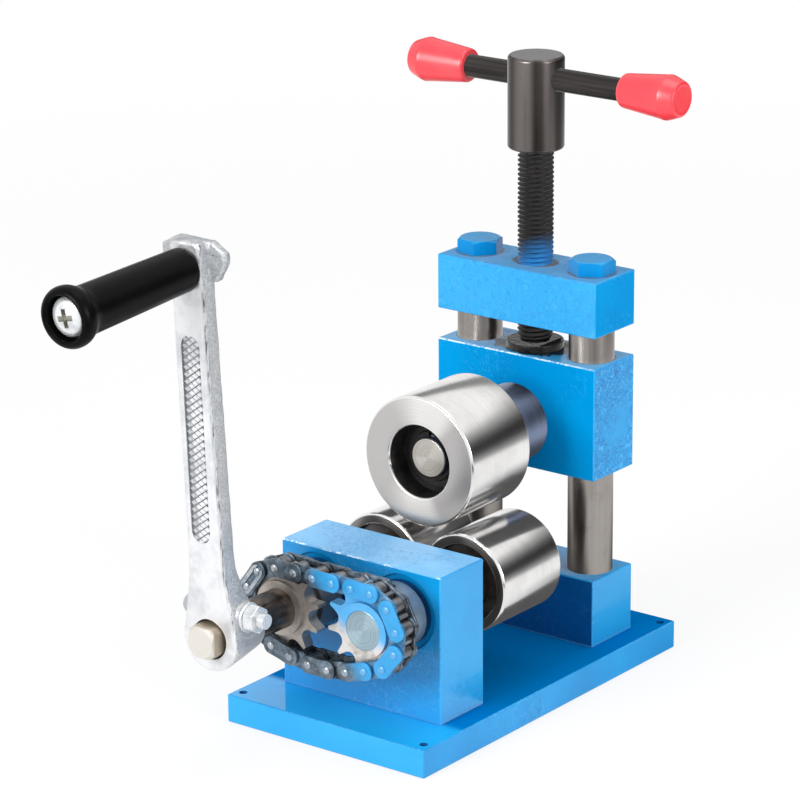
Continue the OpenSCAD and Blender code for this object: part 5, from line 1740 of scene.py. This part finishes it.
@dataclass
class ScrewAndHandle:
    """The lead screw, its gland, the hub and the T-bar with its caps."""

    screw_r: float = 7.5
    thread_pitch: float = 2.0
    thread_depth: float = 1.2
    thread_z: float = 136.92926
    hub_z: float = 218.42926
    hub_r: float = 11.75
    hub_h: float = 39.0
    bar_r: float = 4.75
    bar_z: float = 248.32926
    bar_half: float = 38.45
    bar_shift: float = 5.2
    cap_l: float = 28.0
    cap_wall: float = 3.0
    cap_small_r: float = 7.1
    cap_large_r: float = 9.4
    cap_end_r: float = 6.75
    cap_nose: float = 6.5
    neck_r: float = 6.0
    stub_r: float = 5.0
    stub_l: float = 6.0
    thrust_z: float = 116.72926
    seat: float = 19.5

    def build(self) -> None:
        """Builds the screw, the hub, the bar and the caps."""
        self.screw()
        self.gland()
        self.hub()
        self.bar()
        for side in Side:
            self.cap(side)

    def screw(self) -> None:
        """Winds the thread and adds the plain ends of the screw."""
        graph = GeometryGraph("wound_thread")
        radius, depth, pitch, length = (graph.size(n) for n in ("Radius", "Depth", "Pitch", "Length"))
        rows = graph.size("Rows", "NodeSocketInt")
        grid = graph.wire(graph.add("GeometryNodeMeshGrid", inputs={
            "Size X": 2 * math.pi, "Size Y": length, "Vertices X": 49, "Vertices Y": rows}))
        where = graph.wire(graph.add("GeometryNodeInputPosition"))
        parts = graph.add("ShaderNodeSeparateXYZ", inputs={0: where})
        angle, height = graph.wire(parts, 0), graph.wire(parts, 1) + length / 2
        wind = height / pitch - angle / (2 * math.pi)
        wave = abs(wind.maths("FRACT", wind) - 0.5) * 2.0
        groove = ((wave - 0.18) * 1.45).most(0.0).least(1.0)
        rising, falling = height / (depth * 1.6), (length - height) / (depth * 1.6)
        runout = 1 - rising.least(falling).least(1.0)
        turned = radius - depth * groove.most(runout)
        body = turned * height.maths("GREATER_THAN", height, 1e-6) * height.maths("LESS_THAN", height, length - 1e-6)
        point = graph.wire(graph.add("ShaderNodeCombineXYZ", inputs={
            0: body * angle.cosine(), 1: body * angle.maths("SINE", angle), 2: height}))
        wound = graph.wire(graph.add("GeometryNodeSetPosition", inputs={"Geometry": grid, "Position": point}))
        sealed = graph.wire(graph.add("GeometryNodeMergeByDistance", inputs={"Geometry": wound, "Distance": 1e-6}))
        graph.close(sealed, PALETTE.screw.material())
        length_mm = self.hub_z - self.thread_z
        thread = graph.run(bpy.data.meshes.new("thread_seed"), {
            "Radius": self.screw_r * MM, "Depth": self.thread_depth * MM, "Pitch": self.thread_pitch * MM,
            "Length": length_mm * MM, "Rows": int(length_mm / self.thread_pitch * 12)})
        thread.transform(Matrix.Translation((0, COLUMN_Y * MM, self.thread_z * MM)))
        low, neck, high = self.thrust_z, self.thrust_z + self.stub_l, self.hub_z + self.seat
        ends = [(0, low), (self.stub_r, low), (self.stub_r, neck), (self.neck_r, neck), (self.neck_r, high), (0, high)]
        plain = Workshop.turned(ends, 64, "screw_ends", Matrix.Translation((0, COLUMN_Y, 0)))
        mesh = Workshop.joined((thread, plain), "lead_screw_wound")
        Workshop.piece("lead_screw_wound", mesh, Body.SCREW, Slot.BLACK, (PALETTE.screw,), ("lead_screw",), False)
        Workshop.repaint("thrust_collar", PALETTE.ring)

    def gland(self) -> None:
        """Rounds the gland that traps the screw in the carriage."""
        mesh = Workshop.bevelled("screw_gland", 0.4, 3)
        Workshop.piece("screw_gland_turned", mesh, Body.CARRIAGE, Slot.BLACK, (PALETTE.oiled,), ("screw_gland",))

    def hub(self) -> None:
        """Turns the hub and drills it for the bar and the screw's end."""
        r, h = self.hub_r, self.hub_h
        profile = [(0, 0), (r - 0.8, 0), (r, 0.8), (r, h - 0.9), (r - 0.9, h), (r - 1.3, h), (r - 1.6, h - 0.12),
                   (0, h - 0.12)]
        mesh = Workshop.turned(Workshop.soften(profile, 0.5, 4, False), 128, "handle_hub",
                               Matrix.Translation((0, COLUMN_Y, self.hub_z)))
        drills = []
        for radius, place, length in (
                (self.bar_r + 0.05, Workshop.along_x(-20, COLUMN_Y, self.bar_z), 40.0),
                (self.neck_r + 0.02, Matrix.Translation((0, COLUMN_Y, self.hub_z - 1)), self.seat + 1)):
            drills.append(Workshop.turned([(0, 0), (radius, 0), (radius, length), (0, length)], 64, "drill", place))
        mesh = Workshop.smooth(Workshop.cut(mesh, drills), 40.0)
        # The hub's top face in a lighter grey: painted light from above.
        top = BlackOxide("hub_top", "8A898B", lines=(300.0, 300.0, 300.0), rough=0.4)
        Workshop.sort_faces(mesh, lambda centre, normal: 1 if normal.z > 0.95 and centre.z > self.hub_z + h - 1 else 0)
        Workshop.piece("handle_hub_turned", mesh, Body.SCREW, Slot.BLACK, (PALETTE.hub, top), ("handle_hub",), False)

    def bar(self) -> None:
        """Turns the cross bar."""
        half = self.bar_half + self.cap_l - self.cap_wall
        profile = [(0, 0), (self.bar_r, 0), (self.bar_r, 2 * half), (0, 2 * half)]
        mesh = Workshop.turned(profile, 64, "cross_bar",
                               Workshop.along_x(self.bar_shift - half, COLUMN_Y, self.bar_z))
        Workshop.piece("cross_bar_turned", mesh, Body.BAR, Slot.BLACK, (PALETTE.bar,), ("cross_bar",), False)

    def cap(self, side: Side) -> None:
        """Moulds one red cap."""
        l, n, w = self.cap_l, self.cap_nose, self.cap_wall
        small, large, end, bore = self.cap_small_r, self.cap_large_r, self.cap_end_r, self.bar_r + 0.02
        profile = [(bore, 0), (small - 0.7, 0), (small, 0.7), (large - 0.25, l - n - 1.2), (large, l - n),
                   (large - 0.5, l - n + 1.6), (end + 0.5, l - 0.4), (end - 0.6, l - 0.05), (end - 1.0, l - 0.25),
                   (0, l - 0.25)]
        inside = [(0, l - w + 0.02), (bore, l - w + 0.02)]
        outline = Workshop.soften(profile, 0.9, 4, closed=False)
        place = Workshop.along_x(self.bar_shift + side.value * self.bar_half, COLUMN_Y, self.bar_z, side)
        mesh = Workshop.turned(outline + inside, 112, "cap", place, closed=True)
        node = "cap_" + side.name.lower()
        Workshop.piece(node + "_moulded", mesh, Body.BAR, Slot.RED, (PALETTE.red,), (node,), False)


@dataclass(frozen=True)
class Card:
    """A studio card that only reflections see, and only from its front.

    Where rim is 0 or more, the card fades from that distance to its edge, so that the steel shows no hard border.
    """

    name: str
    centre: Triple
    size: Point
    level: float
    facing: Triple
    rim: float = -1.0

    def build(self) -> None:
        """Stands the card at its centre."""
        mesh = bpy.data.meshes.new(self.name)
        w, h = self.size[0] / 2, self.size[1] / 2
        mesh.from_pydata([(-w, -h, 0), (w, -h, 0), (w, h, 0), (-w, h, 0)], [], [(0, 1, 2, 3)])
        turn = Vector(self.facing).to_track_quat("Z", "Y").to_matrix().to_4x4()
        mesh.transform(Matrix.Translation(self.centre) @ turn)
        graph = ShaderGraph("stage_" + self.name)
        clear = graph.wire(graph.add("ShaderNodeBsdfTransparent"))
        hidden = graph.wire(graph.add("ShaderNodeNewGeometry"), "Backfacing")
        if self.rim >= 0:
            away = graph.wire(graph.add("ShaderNodeVectorMath", {"operation": "DISTANCE"},
                                        {0: graph.place(), 1: self.centre}), "Value")
            hidden = hidden.most(away.step(self.rim, min(w, h)))
        glow = graph.wire(graph.add("ShaderNodeEmission", inputs={"Strength": self.level}))
        mixed = graph.add("ShaderNodeMixShader", inputs={0: hidden, 1: glow, 2: clear})
        mesh.materials.append(graph.end(mixed))
        Studio.reflect_only(Workshop.link(self.name, mesh))


@dataclass
class Studio:
    """Floor, backdrop, cards, lamps and world."""

    floor_half: float = 5.0
    floor_z: float = -0.0003
    drop_r: float = 0.9
    drop_h: float = 0.85
    drop_from: float = 5.0
    drop_to: float = 105.0
    drop_steps: int = 48
    drop_shades: tuple[Point, ...] = ((0.0, 0.6), (0.06, 0.3), (0.2, 0.04), (0.34, 0.02), (0.47, 0.1), (0.66, 0.42),
                                      (0.84, 0.95), (1.0, 1.1))
    sky: float = 0.56
    glow: float = 0.8
    aim: Vector = field(default_factory=lambda: Vector((0.0, 0.0, 0.11)))

    @staticmethod
    def reflect_only(card: Object) -> None:
        """Marks a stage piece that only glossy rays see."""
        card.visible_camera = False
        card.visible_diffuse = False
        card.visible_shadow = False
        card.visible_transmission = False
        card.visible_volume_scatter = False

    @staticmethod
    def seen(graph: NodeGraph) -> Wire:
        """1 for rays that should see the white background."""
        path = graph.add("ShaderNodeLightPath")
        rays = [graph.wire(path, n) for n in ("Is Camera Ray", "Is Glossy Ray", "Is Transmission Ray")]
        return (rays[0] + rays[1] + rays[2]).least(1.0)

    def build(self) -> None:
        """Sets up everything that isn't part of the object."""
        self.floor()
        self.backdrop()
        for card in (Card("card_block_top", (0.0, -0.0497, 0.0752), (0.08, 0.0287), 0.8, (0, 0, 1)),
                     Card("card_block_back", (0.0, -0.0351, 0.0432), (0.08, 0.062), 0.1, (0, 1, 0)),
                     Card("card_base", (0.0, 0.045, 0.0131), (0.12, 0.16), 0.1, (0, 0, 1)),
                     Card("card_under", (-0.01, 0.09, 0.1), (0.1, 0.24), 0.08, (0, 0, -1)),
                     Card("card_rear_block", (0.0, 0.0413, 0.0266), (0.08, 0.0286), 0.1, (0, -1, 0)),
                     Card("card_screw_left", (-0.0078, COLUMN_Y * MM, 0.1399), (0.0156, 0.0126), 0.03, (-1, 0, 0)),
                     Card("card_screw_right", (0.0078, COLUMN_Y * MM, 0.1399), (0.0156, 0.0126), 0.03, (1, 0, 0)),
                     Card("card_floor", (-0.07, 0.14, 0.0006), (0.4, 0.4), 0.08, (0, 0, 1), 0.1),
                     Card("card_far", (-0.3, 0.42, 0.36), (0.5, 0.17), 0.22, (0.6, -0.8, 0)),
                     Card("card_hub", (0.54, -0.4, 0.0007), (0.76, 0.76), 0.04, (0, 0, 1), 0.22)):
            card.build()
        self.lamps()
        self.world()
        bpy.context.scene.view_settings.view_transform = "Standard"

    def floor(self) -> None:
        """Lays the pale floor, white to the camera but for the object's shadow."""
        mesh = bpy.data.meshes.new("floor")
        s, low = self.floor_half, self.floor_z
        mesh.from_pydata([(-s, -s, low), (s, -s, low), (s, s, low), (-s, s, low)], [], [(0, 1, 2, 3)])
        graph = ShaderGraph("stage_floor")
        matt = graph.wire(graph.add("ShaderNodeBsdfDiffuse", inputs={"Color": (0.9, 0.9, 0.9, 1)}))
        glow = graph.wire(graph.add("ShaderNodeEmission", inputs={"Strength": 1.0}))
        x, y, _ = graph.split(graph.place())
        far = (x * x + y * y).step(0.1, 1.4)
        share = self.seen(graph) * (far * (1 - self.glow) + self.glow)
        mixed = graph.add("ShaderNodeMixShader", inputs={0: share, 1: matt, 2: glow})
        mesh.materials.append(graph.end(mixed))
        Workshop.link("floor", mesh)

    def backdrop(self) -> None:
        """Stands a curved sheet behind the right, dark low down and white above, for the steel's streaks."""
        mesh = bpy.data.meshes.new("backdrop")
        steps, sweep = self.drop_steps, self.drop_to - self.drop_from
        angles = [math.radians(self.drop_from + sweep * k / steps) for k in range(steps + 1)]
        ring = [(self.drop_r * math.cos(a), self.drop_r * math.sin(a)) for a in angles]
        points = [(x, y, 0.0) for x, y in ring] + [(x, y, self.drop_h) for x, y in ring]
        faces = [(k, k + 1, steps + 2 + k, steps + 1 + k) for k in range(steps)]
        mesh.from_pydata(points, [], faces)
        graph = ShaderGraph("stage_backdrop")
        _, _, z = graph.split(graph.place())
        stops = [(height, (grey, grey, grey, 1.0)) for height, grey in self.drop_shades]
        shade = graph.wire(graph.add("ShaderNodeValToRGB", {"stops": stops}, {0: z / self.drop_h}))
        glow = graph.add("ShaderNodeEmission", inputs={"Color": shade})
        mesh.materials.append(graph.end(glow))
        self.reflect_only(Workshop.link("backdrop", mesh))

    def lamps(self) -> None:
        """Hangs the soft lamps."""
        for name, centre, size, power in (("key", (-0.35, -2.0, 0.95), 1.0, 39.0), ("top", (0.2, 0.2, 2.2), 1.4, 12.0),
                                          ("side", (1.9, -0.2, 0.8), 0.9, 18.0)):
            lamp = bpy.data.lights.new("lamp_" + name, "AREA")
            lamp.shape = "SQUARE"
            lamp.size = size
            lamp.energy = power
            holder = bpy.data.objects.new("lamp_" + name, lamp)
            holder.location = centre
            holder.rotation_mode = "QUATERNION"
            holder.rotation_quaternion = (Vector(centre) - self.aim).to_track_quat("Z", "Y")
            bpy.context.scene.collection.objects.link(holder)

    def world(self) -> None:
        """Makes the white surroundings."""
        world = bpy.data.worlds.new("studio")
        world.use_nodes = True
        world.node_tree.nodes.clear()
        graph = NodeGraph(world.node_tree)
        soft = graph.wire(graph.add("ShaderNodeBackground", inputs={
            "Color": (0.97, 0.985, 1.0, 1), "Strength": self.sky}))
        white = graph.wire(graph.add("ShaderNodeBackground", inputs={"Color": (1, 1, 1, 1), "Strength": 1.0}))
        mixed = graph.add("ShaderNodeMixShader", inputs={0: self.seen(graph), 1: soft, 2: white})
        graph.add("ShaderNodeOutputWorld", inputs={"Surface": graph.wire(mixed)})
        bpy.context.scene.world = world


@dataclass
class PhotoCamera:
    """The camera, as fitted to the object's edges."""

    azimuth: float = 37.559
    elevation: float = 17.707
    roll: float = 0.436
    place: Triple = (0.9037, -1.2122, 0.6068)
    lens: float = 175.443

    def build(self) -> None:
        """Makes the camera and sets it as the scene's."""
        a, e, r = (math.radians(v) for v in (self.azimuth, self.elevation, self.roll))
        right = Vector((math.cos(a), math.sin(a), 0))
        back = Vector((math.sin(a) * math.cos(e), -math.cos(a) * math.cos(e), math.sin(e)))
        up = back.cross(right)
        across = right * math.cos(r) - up * math.sin(r)
        above = right * math.sin(r) + up * math.cos(r)
        camera = bpy.data.cameras.new("photo")
        camera.sensor_width = 36.0
        camera.lens = self.lens
        camera.clip_start, camera.clip_end = 0.05, 30.0
        holder = bpy.data.objects.new("photo", camera)
        turn = Matrix((across, above, back)).transposed()
        holder.matrix_world = Matrix.Translation(self.place) @ turn.to_4x4()
        bpy.context.scene.collection.objects.link(holder)
        bpy.context.scene.camera = holder


def main() -> None:
    """Builds the camera, the studio and every sub-assembly."""
    logging.basicConfig(level=logging.INFO, format="%(name)s: %(message)s")
    PhotoCamera().build()
    Studio().build()
    for assembly in (PaintedFrame(), Rollers(), ChainDrive(), Crank(), ScrewAndHandle()):
        LOG.info("building %s", type(assembly).__name__)
        assembly.build()


if __name__ == "__main__":
    main()
